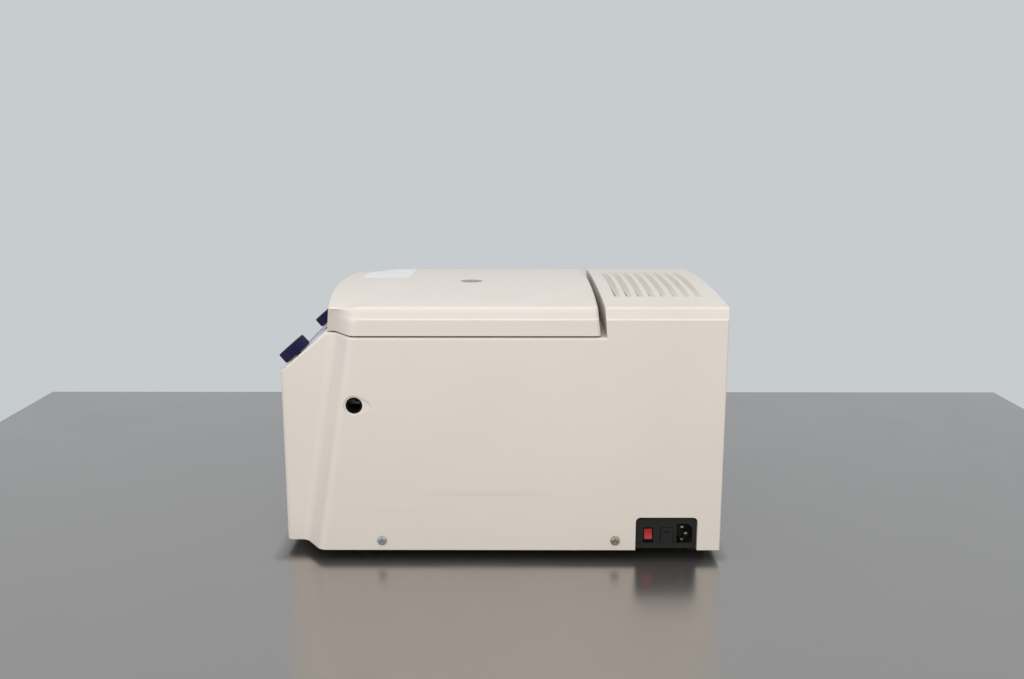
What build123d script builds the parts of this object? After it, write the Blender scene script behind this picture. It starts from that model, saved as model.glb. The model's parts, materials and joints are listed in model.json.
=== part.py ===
from build123d import *
from math import atan2, cos, pi, radians, sin, sqrt, tan
import os

# Benchtop refrigerated centrifuge, lid closed, standing on its feet.
# +X is the machine's right side, -Y is the front with the control panel, +Z is up.
# The origin lies on the table under the middle of the machine.

# Casing: one moulding with the nose, the deck and the rear hood
casing_width = 292.0
nose_width = 236.0
casing_front = -226.0
casing_rear = 230.0
casing_bottom = 10.0
nose_height = 193.6
deck_top = 235.2
panel_angle = 40.7
wall = 5.0
nose_corner_radius = 7.0
rear_corner_radius = 2.0
rim_radius = 2.5
crease_lean = 0.164
crease_radius = 12.0
crease_back_set = 29.3
crease_front_set = 10.3

# Shoulder and crowned roof that the lid and the hood share
shoulder_height = 253.0
shoulder_step = 1.4
shoulder_band = 3.8
roof_edge = 265.5
roof_crown = 271.0
roof_radius = 3.0
hood_front = 109.0
hood_front_lean = 0.085
hood_roof_wall = 6.0

# Louvres in the hood
louvre_count = 8
louvre_first = 120.3
louvre_pitch = 12.1
louvre_width = 7.2
louvre_length = 190.0
louvre_depth = 5.4
louvre_slit = 2.4

# Lid
lid_gap = 1.8
lid_wall = 2.5
lid_front_set = 2.0
lid_front_lean = 0.093
lid_bow = 6.0
lid_rear_gap = 6.0
lid_rear_lean = 0.12
lid_edge_radius = 3.0
lid_crease_radius = 6.0
lid_corner_radius = 3.0
lid_chamfer = 1.5
liner_gap = 3.0
liner_thickness = 3.0
window_diameter = 24.0

# Hinge, whose axis lies inside the rear edge of the lid
hinge_set = 9.0
hinge_drop = 8.0
hinge_spread = 62.0
hinge_eye_radius = 4.0
hinge_pin_radius = 2.5
hinge_plate = 8.0
hinge_block = 11.0
hinge_play = 0.05

# Chamber and rotor
rotor_y = -32.0
mouth_radius = 96.0
bowl_floor = 128.0
bowl_wall = 1.2
insulation_radius = 117.0
insulation_floor = 113.0
coil_turns = 3
coil_pitch = 27.0
coil_tube = 3.0
rotor_radius = 84.0
rotor_bottom = 142.0
rotor_height = 58.0
tube_count = 18
tube_radius = 5.5
tube_depth = 34.0
tube_circle = 52.0
rotor_knob_radius = 16.0

# Drive
shaft_radius = 6.0
shaft_play = 0.05
bearing_radius = 14.0
motor_radius = 48.0
motor_bottom = 37.0
motor_height = 73.0
motor_ribs = 12
stator_slots = 12

# Fasteners and clearances
touch_gap = 0.3
part_gap = 0.5
screw_radius = 5.0
foot_height = 11.0
foot_radius = 13.0
foot_set = 34.0
foot_front = -141.0
foot_rear = 208.0
plate_bottom = 11.0
plate_thickness = 2.0

# Openings, panel, power inlet and cooling
release_y = -146.0
release_z = 165.0
release_radius = 8.5
release_recess = 10.5
release_eye_set = 25.0
recess_depth = 1.6
notch_reach = 17.0
inlet_y0 = 142.0
inlet_y1 = 206.0
inlet_top = 45.8
inlet_corner = 5.0
grille_z = 130.0
grille_size = 116.0
grille_plate = 2.5
grille_opening = 104.0
screw_y = 121.0
screw_z = 20.5
striker_y = -158.0
striker_width = 10.0
fascia_margin = 7.0
fascia_height = 52.0
fascia_thickness = 1.6
fascia_v = 31.0
window_width = 150.0
window_height = 42.0
knob_side_set = 18.0
knob_v = 23.0
gasket_width = 7.0
gasket_depth = 2.5
gasket_proud = 3.2
boss_radius = 90.0
boss_depth = 3.4
window_depth = 3.0
sight_radius = 8.0
hinge_side_gap = 0.8
striker_half = 1.5
striker_tip = 212.0
striker_bar = 2.5
striker_play = 2.5
bolt_radius = 3.0
bolt_z = 219.0
neck_radius = 13.0
bowl_corner = 12.0
coil_low = 140.0
coil_stub = 12.0
pipe_x = 22.0
pipe_radius = 2.5
mount_circle = 74.0
mount_radius = 12.0
mount_angles = (90, 210, 330)
armature_radius = 30.0
hub_bore = 5.0
hub_radius = 15.0
stem_radius = 9.0
display_width = 104.0
display_height = 20.0
display_v = 43.0
key_names = ["start", "stop", "open", "pulse", "cooler", "warmer"]
key_width = 15.0
key_height = 9.0
key_pitch = 22.0
key_v = 17.0
key_proud = 1.2
knob_radius = 16.25
knob_height = 12.2
knob_gap = 1.1
knob_ribs = 36
knob_rib_depth = 0.7
knob_shaft_radius = 3.0
screw_head = 2.6
inlet_set = 5.5
socket_y = 193.5
socket_z = 25.0
socket_width = 16.5
socket_height = 23.6
socket_depth = 18.0
rocker_y = 155.7
rocker_z = 24.5
rocker_width = 9.8
rocker_half = 7.2
rocker_tilt = 9.0
rocker_set = 6.5
trunnion_radius = 1.5
trunnion_length = 2.0
trunnion_play = 0.05
drawer_y0 = 168.5
drawer_y1 = 181.6
drawer_z0 = 14.6
drawer_z1 = 32.4
drawer_length = 24.0
fuse_y = 175.0
fuse_radius = 2.5
fuse_heights = (19.4, 27.0)
compressor_set = 17.0
compressor_y = 166.0
compressor_low = 32.0
compressor_height = 144.0
compressor_radius = 52.0
condenser_gap = 28.0
condenser_set = 13.0
condenser_y0 = 168.0
condenser_depth = 24.0
condenser_z0 = 68.0
condenser_height = 124.0
condenser_rows = 6
row_set = 12.0
tube_bend_radius = 3.0
fan_size = 110.0
fan_y = 194.0
fan_depth = 25.0
fan_pin_radius = 2.0
drier_gap = 6.0
drier_y = 140.0
drier_low = 70.0
drier_length = 80.0
drier_neck = 12.0
board_y = 118.0
board_side = 20.0
board_width = 84.0
board_top = 150.0
board_thickness = 1.6
sink_fins = 6
sink_pitch = 4.0
sink_low = 60.0
sink_high = 136.0

# Values worked out from the sizes above
far = 2.0 * casing_width
half_width = casing_width / 2
slope = radians(panel_angle)
slope_top = casing_front + (deck_top - nose_height) / tan(slope)
crease_back = slope_top + crease_back_set
crease_front = slope_top + crease_front_set
lid_bottom = deck_top + lid_gap
lid_front = slope_top + lid_front_set
lid_rear = hood_front - lid_rear_gap
pivot_y = lid_rear - hinge_set
pivot_z = roof_crown - hinge_drop
plate_top = plate_bottom + plate_thickness
deck_under = deck_top - wall
rotor_top = rotor_bottom + rotor_height
fascia_width = nose_width - 2 * fascia_margin
knob_x = nose_width / 2 - knob_side_set
foot_x = half_width - foot_set
inlet_face = half_width - inlet_set
rocker_pivot_x = inlet_face - rocker_set
rod_eye_x = half_width - release_eye_set
compressor_x = -(half_width - wall - compressor_set - compressor_radius)
condenser_x0 = compressor_x + compressor_radius + condenser_gap
condenser_x1 = half_width - wall - condenser_set
condenser_width = condenser_x1 - condenser_x0
grille_x = (condenser_x0 + condenser_x1) / 2
drier_x = condenser_x0 - drier_gap

liner_low = lid_bottom + liner_gap
liner_top = liner_low + liner_thickness
coil_radius = mouth_radius + 1 + bowl_wall + part_gap + coil_tube
hub_floor = rotor_top - 28
hub_top = rotor_top - 14
stem_low = rotor_top - 24
rotor_lid_top = rotor_top + 7
panel_plane = Plane(origin=(0, casing_front, nose_height), x_dir=(1, 0, 0),
                    z_dir=(0, -sin(slope), cos(slope)))

os.makedirs("parts", exist_ok=True)


def save(shape, name):
    """Writes one named sub-part."""
    export_step(shape, "parts/" + name + ".step")


def slab(x0, x1, y0, y1, z0, z1):
    """A block between two corners."""
    block = Box(x1 - x0, y1 - y0, z1 - z0)
    return Pos((x0 + x1) / 2, (y0 + y1) / 2, (z0 + z1) / 2) * block


def post(radius, x, y, z0, z1):
    """An upright cylinder."""
    return Pos(x, y, (z0 + z1) / 2) * Cylinder(radius, z1 - z0)


def along_x(radius, x0, x1, y, z):
    """A cylinder that lies along X."""
    return Pos((x0 + x1) / 2, y, z) * Rot(0, 90, 0) * Cylinder(radius, x1 - x0)


def along_y(radius, y0, y1, x, z):
    """A cylinder that lies along Y."""
    return Pos(x, (y0 + y1) / 2, z) * Rot(90, 0, 0) * Cylinder(radius, y1 - y0)


def turned(points, y=rotor_y):
    """A solid of revolution about the rotor axis, from a profile of radius and height."""
    face = make_face(Plane.XZ * Polyline(*points, close=True))
    return Pos(0, y, 0) * revolve(face, Axis.Z)


def joined(pieces):
    """Several pieces fused into one solid."""
    whole = pieces[0]
    for piece in pieces[1:]:
        whole = whole + piece
    return whole


def group(pieces):
    """Separate solids that share one node."""
    solids = []
    for piece in pieces:
        solids.extend(piece.solids())
    return Compound(children=solids)


# Casing

def crease_shift(inset, z):
    """How far the leaning crease lines lie behind their place at deck level."""
    turn = atan2(casing_width - nose_width, 2 * (crease_back - crease_front))
    return inset * tan(turn / 2) + crease_lean * (z - deck_top)


def plan_points(inset, z, front, back):
    """Corners of the casing's plan, narrower at the nose, wider from the crease back."""
    half = half_width - inset
    nose = nose_width / 2 - inset
    shift = crease_shift(inset, z)
    right = [(half, back), (half, crease_back + shift), (nose, crease_front + shift), (nose, front)]
    left = [(-x, y) for x, y in reversed(right)]
    return right, left


def casing_form(inset):
    """The lower casing up to the deck, or the room inside it when inset is the wall."""
    low = casing_bottom - (1.0 if inset else 0.0)
    top = deck_top - inset
    right, left = plan_points(inset, low, -far, far)
    plan = make_face(Polyline(*right, *left, close=True))
    plan = fillet([v for v in plan.vertices() if abs(v.Y) < far - 1], crease_radius)
    base = plan.face().moved(Location((0, 0, low)))
    prism = Solid.extrude(base, Vector(0, crease_lean * (top - low), top - low))
    nose_y = casing_front + inset
    slope_y = casing_front + inset * sin(slope)
    slope_z = nose_height - inset * cos(slope)
    corner_z = slope_z + (nose_y - slope_y) * tan(slope)
    top_y = slope_y + (top - slope_z) / tan(slope)
    rear_y = casing_rear - inset
    side = Polyline((nose_y, low), (nose_y, corner_z), (top_y, top), (rear_y, top), (rear_y, low), close=True)
    return prism & extrude(make_face(Plane.YZ * side), casing_width, both=True)


def roof_section(inset, roof_inset, low):
    """Half-round-shouldered section across the machine: skirt, step, sloped band and crown."""
    half = half_width - inset
    band = half - shoulder_band
    edge = roof_edge - roof_inset
    right = [(half, low), (half, shoulder_height), (half - shoulder_step, shoulder_height + shoulder_step),
             (band, edge)]
    left = [(-x, z) for x, z in reversed(right)]
    crown = ThreePointArc(right[-1], (0, roof_crown - roof_inset), left[0])
    face = make_face(Plane.XZ * (Polyline(*left, *right) + crown))
    edges = [v for v in face.vertices() if abs(v.Z - edge) < 0.01]
    return fillet(edges, roof_radius)


def hood_form(inset, roof_inset, low):
    """The rear hood, or the room inside it."""
    section = extrude(roof_section(inset, roof_inset, low), far, both=True)
    front = hood_front + inset
    lean = hood_front_lean * (roof_crown - deck_top)
    back = casing_rear - inset
    top = roof_crown + wall
    side = Polyline((front, low), (front, deck_top), (front - lean, top), (back, top), (back, low), close=True)
    return section & extrude(make_face(Plane.YZ * side), far, both=True)


def on_slope(edge):
    """True for the edges round the panel slope and along the deck in front of the hood."""
    c = edge.center()
    if abs(c.Z - deck_top) < 0.01:
        return c.Y < casing_rear - 1
    rise = (c.Y - casing_front) * tan(slope)
    return c.Z > nose_height - 0.1 and abs(c.Z - nose_height - rise) < 0.05


def lower_shell():
    """Casing body with its rounded nose corners, rims and rear corners."""
    body = casing_form(0)
    nose = [e for e in body.edges() if abs(e.center().Y - casing_front) < 0.01
            and abs(abs(e.center().X) - nose_width / 2) < 0.01]
    body = fillet(nose, nose_corner_radius)
    return fillet([e for e in body.edges() if on_slope(e)], rim_radius)


def louvre(y):
    """One scalloped louvre: an upright front wall, a floor that curves up to the rear, and a slit."""
    top = roof_crown + 1
    floor = roof_crown - louvre_depth
    wall_line = Line((y, top), (y, floor))
    rise = ThreePointArc((y, floor), (y + 0.62 * louvre_width, floor + 0.28 * louvre_depth),
                         (y + louvre_width, top))
    lid_line = Line((y + louvre_width, top), (y, top))
    face = make_face(Plane.YZ * (wall_line + rise + lid_line))
    ends = Pos(0, y + louvre_width / 2, roof_crown - louvre_depth - 1) * extrude(
        SlotOverall(louvre_length, louvre_width), louvre_depth + 2)
    scallop = extrude(face, louvre_length / 2, both=True) & ends
    reach = louvre_length / 2 - louvre_width
    slit = slab(-reach, reach, y + 0.5, y + 0.5 + louvre_slit, roof_crown - 3 * hood_roof_wall, floor + 1)
    return scallop + slit


def on_panel(u, v, w, shape):
    """Places a shape on the sloped panel: u to the right, v up the slope, w out of it."""
    return panel_plane * Pos(u, v, w) * shape


def casing():
    """The whole casing moulding with its openings."""
    shell = lower_shell() + hood_form(0, 0, deck_top - 2 * wall)
    rear = [e for e in shell.edges() if abs(e.center().Y - casing_rear) < 0.01
            and abs(abs(e.center().X) - half_width) < 0.01]
    shell = fillet(rear, rear_corner_radius)
    shell = shell - casing_form(wall)
    shell = shell - hood_form(wall, hood_roof_wall, deck_top - 3 * wall)
    shell = shell - post(mouth_radius, 0, rotor_y, deck_under - 1, deck_top + 1)
    shell = shell - post(mouth_radius + gasket_width, 0, rotor_y, deck_top - gasket_depth, deck_top + 1)
    for i in range(louvre_count):
        shell = shell - louvre(louvre_first + i * louvre_pitch)
    # release hole with its teardrop finger notch
    shell = shell - along_x(release_radius, half_width - 2 * wall, half_width + 1, release_y, release_z)
    shell = shell - along_x(release_recess, half_width - recess_depth, half_width + 1, release_y, release_z)
    notch_r = release_recess / 2
    tip = release_y + notch_reach - notch_r
    notch = make_hull([
        Pos(release_y, release_z) * Circle(release_recess).edge(),
        Pos(tip, release_z) * Circle(notch_r).edge()])
    notch = Plane.YZ.offset(half_width - recess_depth) * notch
    shell = shell - extrude(notch, recess_depth + 1)
    # skirt cut-out round the power inlet, open at the bottom
    gate = slab(half_width - 2 * wall, half_width + 1, inlet_y0, inlet_y1, casing_bottom - 5, inlet_top)
    gate = fillet([e for e in gate.edges() if abs(e.center().Z - inlet_top) < 0.01
                   and abs(e.length - 2 * wall - 1) < 0.01], inlet_corner)
    shell = shell - gate
    # rear grille seat and air opening
    half = grille_size / 2
    shell = shell - slab(grille_x - half, grille_x + half, casing_rear - grille_plate, casing_rear + 1,
                         grille_z - half, grille_z + half)
    shell = shell - along_y(grille_opening / 2, casing_rear - 2 * wall, casing_rear + 1, grille_x, grille_z)
    # panel seat, window behind it and knob holes
    seat = extrude(RectangleRounded(fascia_width, fascia_height, 5), fascia_thickness + 5)
    shell = shell - on_panel(0, fascia_v, -fascia_thickness, seat)
    window = extrude(RectangleRounded(window_width, window_height, 4), 3 * wall)
    shell = shell - on_panel(0, fascia_v, -2 * wall, window)
    for side in (-1, 1):
        shell = shell - on_panel(side * knob_x, knob_v, 0, Cylinder(4.0, 4 * wall))
    # latch slot and hinge slots in the deck
    shell = shell - slab(-4, 4, striker_y - 12, striker_y + 6.5, deck_under - 1, deck_top + 1)
    for side in (-1, 1):
        x = side * hinge_spread
        reach = hinge_plate / 2
        shell = shell - slab(x - reach, x + reach, pivot_y - hinge_eye_radius, pivot_y + hinge_eye_radius,
                             deck_under - 1, deck_top + 1)
    # holes for the side screws
    for y in (-screw_y, screw_y):
        shell = shell - along_x(2.6, -half_width - 1, half_width + 1, y, screw_z)
    return shell


# Lid

def lid_outline(inset, rear_inset, z):
    """The lid's plan at height z: bowed front, creased corners and straight rear."""
    front = lid_front + inset + lid_front_lean * (z - lid_bottom)
    back = lid_rear - rear_inset - lid_rear_lean * (z - lid_bottom)
    right, left = plan_points(inset, z, front, back)
    front_line = ThreePointArc(right[-1], (0, front - lid_bow), left[0])
    face = make_face(Polyline(*left, *right) + front_line)
    shift = crease_shift(inset, z)
    outer = [v for v in face.vertices() if abs(v.Y - crease_back - shift) < 0.01]
    face = fillet(outer, crease_radius)
    inner = [v for v in face.vertices() if abs(v.Y - crease_front - shift) < 0.01]
    face = fillet(inner, lid_crease_radius)
    corners = [v for v in face.vertices() if abs(v.Y - front) < 0.01]
    face = fillet(corners, lid_corner_radius)
    return face.face().outer_wire().moved(Location((0, 0, z)))


def lid_form(inset, roof_inset, low):
    """The lid's outer form, or the room inside it."""
    over = roof_crown + 2
    step_top = shoulder_height + shoulder_step
    slant = (shoulder_band - shoulder_step) / (roof_edge - step_top)
    levels = [(low, inset), (shoulder_height, inset), (step_top, inset + shoulder_step),
              (over, inset + shoulder_step + slant * (over - step_top))]
    body = Solid.make_loft([lid_outline(i, inset, z) for z, i in levels], ruled=True)
    edge = roof_edge - roof_inset
    half = half_width - shoulder_band
    fall = 2 * (roof_crown - roof_edge) / half
    skirt = Polyline((half, edge), (half + 20, edge - 20 * fall), (half + 20, 0), (-half - 20, 0),
                     (-half - 20, edge - 20 * fall), (-half, edge))
    arc = ThreePointArc((half, edge), (0, roof_crown - roof_inset), (-half, edge))
    return body & extrude(make_face(Plane.XZ * (arc + skirt)), far, both=True)


def lid_shell():
    """Outer moulding of the lid with its window hole and hinge notches."""
    form = lid_form(0, 0, lid_bottom)
    rim = [e for e in form.edges() if e.center().Z > roof_edge - 2]
    form = fillet(rim, lid_edge_radius)
    shell = form - lid_form(lid_wall, lid_wall, lid_bottom - 1)
    shell = shell + post(window_diameter / 2 + 2.5, 0, rotor_y, roof_crown - 9, roof_crown - 1)
    shell = shell - post(window_diameter / 2 + 0.1, 0, rotor_y, roof_crown - 3, roof_crown + 1)
    shell = shell - post(window_diameter / 2 - 2, 0, rotor_y, roof_crown - 12, roof_crown + 1)
    low_rear = [e for e in shell.edges() if abs(e.center().Z - lid_bottom) < 0.01
                and abs(e.center().Y - lid_rear) < 0.01]
    shell = chamfer(low_rear, lid_chamfer)
    for slot in hinge_slots(hinge_plate / 2 + hinge_side_gap, pivot_y, lid_bottom - 1,
                            pivot_z + hinge_eye_radius - 0.2):
        shell = shell - slot
    return shell


# Lid inner pieces

def hinge_slots(reach, front, low, high):
    """Cutters for the two hinge plates, open to the rear."""
    return [slab(side * hinge_spread - reach, side * hinge_spread + reach, front, lid_rear + wall, low, high)
            for side in (-1, 1)]


def lid_liner():
    """Inner plate of the lid with the round boss that faces the chamber."""
    form = lid_form(lid_wall + touch_gap, lid_wall, lid_bottom)
    plate = form & slab(-far, far, -far, far, liner_low, liner_top)
    boss = turned([(0, liner_low - boss_depth), (boss_radius - 2, liner_low - boss_depth),
                   (boss_radius, liner_low - boss_depth + 2), (boss_radius, liner_low + 1), (0, liner_low + 1)])
    plate = plate + boss
    plate = plate - post(sight_radius, 0, rotor_y, lid_bottom - 5, liner_top + 1)
    for slot in hinge_slots(hinge_plate / 2 + hinge_side_gap, pivot_y - hinge_eye_radius - 1,
                            lid_bottom, liner_top + 1):
        plate = plate - slot
    return plate


def lid_window():
    """The round window in the roof and the small lens in the liner below it."""
    top = post(window_diameter / 2, 0, rotor_y, roof_crown - window_depth, roof_crown - 0.3)
    top = chamfer(top.edges().sort_by(Axis.Z)[-1], 0.4)
    low = post(sight_radius, 0, rotor_y, liner_low, liner_top)
    return group([top, low])


def sight_tube():
    """Tube between the two lenses."""
    outer = post(sight_radius + 1.5, 0, rotor_y, liner_top, roof_crown - window_depth)
    return outer - post(sight_radius, 0, rotor_y, liner_top - 1, roof_crown)


def lid_seal():
    """Soft ring under the liner, opposite the chamber gasket."""
    low = deck_top + gasket_proud + touch_gap
    inner = mouth_radius + 1.0
    outer = mouth_radius + gasket_width - 1.0
    return turned([(inner, liner_low), (inner, low), (outer, low), (outer, liner_low)])


def bowl_gasket():
    """Rubber ring in the rebate round the chamber mouth."""
    low = deck_top - gasket_depth
    top = deck_top + gasket_proud
    outer = mouth_radius + gasket_width
    lip = 1.2
    return turned([(mouth_radius, low), (outer, low), (outer, deck_top + 0.6), (outer - lip, deck_top + 0.6),
                   (outer - lip, top), (mouth_radius + lip, top), (mouth_radius + lip, deck_top + 0.6),
                   (mouth_radius, deck_top + 0.6)])


def lid_striker():
    """Steel striker plate that drops into the lock."""
    half = striker_width / 2
    plate = slab(-striker_half, striker_half, striker_y - half, striker_y + half, striker_tip, liner_low)
    plate = chamfer([e for e in plate.edges() if abs(e.center().Z - striker_tip) < 0.01
                     and abs(abs(e.center().Y - striker_y) - half) < 0.01], 2.5)
    reach = bolt_radius + part_gap
    plate = plate - slab(-wall, wall, striker_y - reach, striker_y + reach, striker_tip + striker_bar,
                         bolt_z + bolt_radius + striker_play)
    foot = slab(-8, 8, striker_y - half - 3, striker_y + half + 3, liner_low - 2, liner_low)
    foot = fillet(foot.edges().filter_by(Axis.Z), 2.5)
    return plate + foot


def hinge_knuckles():
    """Two blocks on each side of every hinge plate, bored for the pin."""
    room = lid_form(lid_wall + touch_gap, lid_wall + touch_gap, lid_bottom)
    blocks = []
    for side in (-1, 1):
        for hand in (-1, 1):
            near = side * hinge_spread + hand * (hinge_plate / 2 + part_gap)
            away = near + hand * hinge_block
            x0 = min(near, away)
            x1 = max(near, away)
            body = slab(x0, x1, pivot_y - 16, pivot_y, liner_top, pivot_z)
            heel = slab(x0, x1, pivot_y - 16, pivot_y - 6, pivot_z - 1, pivot_z + 6)
            eye = along_x(hinge_eye_radius, x0, x1, pivot_y, pivot_z)
            block = (body + heel + eye) & room
            blocks.append(block - along_x(hinge_pin_radius + hinge_play, x0 - 1, x1 + 1, pivot_y, pivot_z))
    return group(blocks)


def hinge_brackets():
    """Fixed hinge plates that stand up through the deck on a foot below it."""
    brackets = []
    for side in (-1, 1):
        x = side * hinge_spread
        half = hinge_plate / 2
        upright = slab(x - half, x + half, pivot_y - hinge_eye_radius, pivot_y + hinge_eye_radius,
                       deck_under, pivot_z)
        eye = along_x(hinge_eye_radius, x - half, x + half, pivot_y, pivot_z)
        foot = slab(x - 3 * half, x + 3 * half, pivot_y - 11, pivot_y + 9, deck_under - 4, deck_under)
        bracket = upright + eye + foot
        brackets.append(bracket - along_x(hinge_pin_radius, x - wall, x + wall, pivot_y, pivot_z))
    return group(brackets)


def hinge_pins():
    """One pin through each hinge."""
    reach = hinge_plate / 2 + part_gap + hinge_block
    return group([along_x(hinge_pin_radius, side * hinge_spread - reach, side * hinge_spread + reach,
                          pivot_y, pivot_z) for side in (-1, 1)])


# Chamber

def bowl():
    """Deep-drawn steel bowl with a flange under the deck and a neck round the shaft."""
    r = mouth_radius + 1
    under = deck_under - bowl_wall
    points = [(neck_radius, bowl_floor + 6), (neck_radius, bowl_floor - bowl_wall),
              (r + bowl_wall, bowl_floor - bowl_wall), (r + bowl_wall, under),
              (insulation_radius - 1, under), (insulation_radius - 1, deck_under), (r, deck_under),
              (r, bowl_floor), (neck_radius + bowl_wall, bowl_floor), (neck_radius + bowl_wall, bowl_floor + 6)]
    face = make_face(Plane.XZ * Polyline(*points, close=True))
    outer = [v for v in face.vertices() if abs(v.X - r - bowl_wall) < 0.01 and v.Z < bowl_floor]
    face = chamfer(outer, bowl_corner)
    inner = [v for v in face.vertices() if abs(v.X - r) < 0.01 and abs(v.Z - bowl_floor) < 0.01]
    face = chamfer(inner, bowl_corner)
    return Pos(0, rotor_y, 0) * revolve(face, Axis.Z)


def bowl_insulation():
    """Foam jacket round the bowl, with room for the coil and holes for its pipes."""
    top = deck_under - bowl_wall
    low = bowl_floor - bowl_wall
    inner = coil_radius + coil_tube + 3
    jacket = turned([(neck_radius + 5, insulation_floor), (insulation_radius, insulation_floor),
                     (insulation_radius, top), (inner, top), (inner, low), (neck_radius + 5, low)])
    rear = rotor_y + insulation_radius
    jacket = jacket - along_y(pipe_radius + 1, rear - 40, rear + 5, pipe_x, coil_low)
    return jacket - along_y(pipe_radius + 1, rear - 40, rear + 5, -pipe_x, coil_low + coil_turns * coil_pitch)


def evaporator_coil():
    """Copper tube wound on the bowl: half turns that lean in turn to either side."""
    rear = rotor_y + coil_radius
    front = rotor_y - coil_radius
    edges = [Line((coil_stub, rear, coil_low), (0, rear, coil_low))]
    for i in range(2 * coil_turns):
        z = coil_low + i * coil_pitch / 2
        side = -1 if i % 2 == 0 else 1
        start = rear if i % 2 == 0 else front
        end = front if i % 2 == 0 else rear
        bulge = sqrt(coil_radius ** 2 + (coil_pitch / 4) ** 2)
        edges.append(ThreePointArc((0, start, z), (side * bulge, rotor_y, z + coil_pitch / 4),
                                   (0, end, z + coil_pitch / 2)))
    top = coil_low + coil_turns * coil_pitch
    edges.append(Line((0, rear, top), (-coil_stub, rear, top)))
    path = Wire([e.edge() for e in edges])
    section = Plane(origin=(coil_stub, rear, coil_low), x_dir=(0, 1, 0), z_dir=(-1, 0, 0))
    print("coil turns clear each other by", coil_pitch - 2 * coil_tube)
    return sweep(section * RegularPolygon(coil_tube, 6), path=path)


# Drive and rotor

def motor_plate():
    """Round carrier plate with three ears for the rubber mounts."""
    plate = Circle(motor_radius + 10)
    for angle in mount_angles:
        ear = Rot(0, 0, angle) * (Pos(mount_circle / 2, 0) * Rectangle(mount_circle, 30)
                                  + Pos(mount_circle, 0) * Circle(15))
        plate = plate + ear
    plate = plate - Circle(bearing_radius - 2)
    return Pos(0, rotor_y, motor_bottom - 4) * extrude(plate, 4)


def motor_isolators():
    """Three waisted rubber mounts between the tray and the motor plate."""
    high = motor_bottom - 4
    mid = (plate_top + high) / 2
    rim = (high - plate_top) / 4
    mount = Pos(0, 0, mid) * Cylinder(mount_radius - 3, high - plate_top)
    mount = mount + Pos(0, 0, plate_top + rim / 2) * Cylinder(mount_radius, rim)
    mount = mount + Pos(0, 0, high - rim / 2) * Cylinder(mount_radius, rim)
    return group([Pos(0, rotor_y, 0) * Rot(0, 0, angle) * Pos(mount_circle, 0, 0) * mount
                  for angle in mount_angles])


def motor_housing():
    """Ribbed aluminium motor can, open in the middle for the windings."""
    top = motor_bottom + motor_height
    inner = motor_radius - 3
    lip = bearing_radius - 4
    can = turned([(lip, motor_bottom), (motor_radius, motor_bottom), (motor_radius, top),
                  (bearing_radius, top), (bearing_radius, top - 9), (inner, top - 9),
                  (inner, motor_bottom + 11), (bearing_radius, motor_bottom + 11),
                  (bearing_radius, motor_bottom + 3), (lip, motor_bottom + 3)])
    rib = slab(motor_radius - 1, motor_radius + 4, -1, 1, motor_bottom + 12, top - 12)
    for i in range(motor_ribs):
        can = can + Pos(0, rotor_y, 0) * Rot(0, 0, i * 360 / motor_ribs) * rib
    return can


def motor_stator():
    """Laminated ring with winding slots."""
    core = Circle(motor_radius - 3) - Circle(armature_radius + 1)
    slot = Pos(armature_radius + 4, 0) * Rectangle(12, 4)
    for i in range(stator_slots):
        core = core - Rot(0, 0, i * 360 / stator_slots) * slot
    return Pos(0, rotor_y, motor_bottom + 15) * extrude(core, 40)


def bearings():
    """Lower and upper ball bearings as plain rings."""
    bore = shaft_radius + shaft_play
    low = motor_bottom + 3
    high = motor_bottom + motor_height
    return group([post(bearing_radius, 0, rotor_y, low, low + 8) - post(bore, 0, rotor_y, low - 1, low + 9),
                  post(bearing_radius, 0, rotor_y, high - 9, high) - post(bore, 0, rotor_y, high - 10, high + 1)])


def drive_shaft():
    """Stepped shaft from the lower bearing to the rotor hub."""
    low = motor_bottom + 4
    return turned([(0, low), (shaft_radius - 1, low), (shaft_radius, low + 1), (shaft_radius, rotor_bottom),
                   (hub_bore, rotor_bottom), (hub_bore, hub_floor - 1), (hub_bore - 1, hub_floor), (0, hub_floor)])


def motor_armature():
    """Magnet rotor on the shaft."""
    return (post(armature_radius, 0, rotor_y, motor_bottom + 16, motor_bottom + 54)
            - post(shaft_radius, 0, rotor_y, motor_bottom + 15, motor_bottom + 55))


def rotor():
    """Fixed-angle rotor: a turned body with a dished top and a ring of slanting tube bores."""
    r = rotor_radius
    dish_rim = r - 17
    dish_low = rotor_top - 30
    face = make_face(Plane.XZ * Polyline(
        (hub_bore, rotor_bottom), (r - 10, rotor_bottom), (r - 10, rotor_bottom + 8), (r, rotor_bottom + 8),
        (r, rotor_top), (dish_rim + 1, rotor_top), (dish_rim - 29, dish_low), (hub_radius, dish_low),
        (hub_radius, hub_top), (stem_radius + 0.2, hub_top), (stem_radius + 0.2, hub_floor), (hub_bore, hub_floor),
        close=True))
    body = Pos(0, rotor_y, 0) * revolve(face, Axis.Z)
    start = dish_low + tube_circle - (dish_rim - 29)
    bore = Pos(0, 0, tube_depth / 2 - 5) * Cylinder(tube_radius, tube_depth + 10)
    bore = Pos(tube_circle, 0, start) * Rot(0, 135, 0) * bore
    for i in range(tube_count):
        body = body - Pos(0, rotor_y, 0) * Rot(0, 0, (i + 0.5) * 360 / tube_count) * bore
    return body


def rotor_lid():
    """Flat dished cover that closes the rotor."""
    r = rotor_radius
    return turned([(stem_radius + 0.3, rotor_top), (r - 2, rotor_top), (r - 2, rotor_top + 3),
                   (r / 2, rotor_top + 5), (hub_radius + 4, rotor_top + 5), (hub_radius + 4, rotor_lid_top),
                   (stem_radius + 0.3, rotor_lid_top)])


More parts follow.
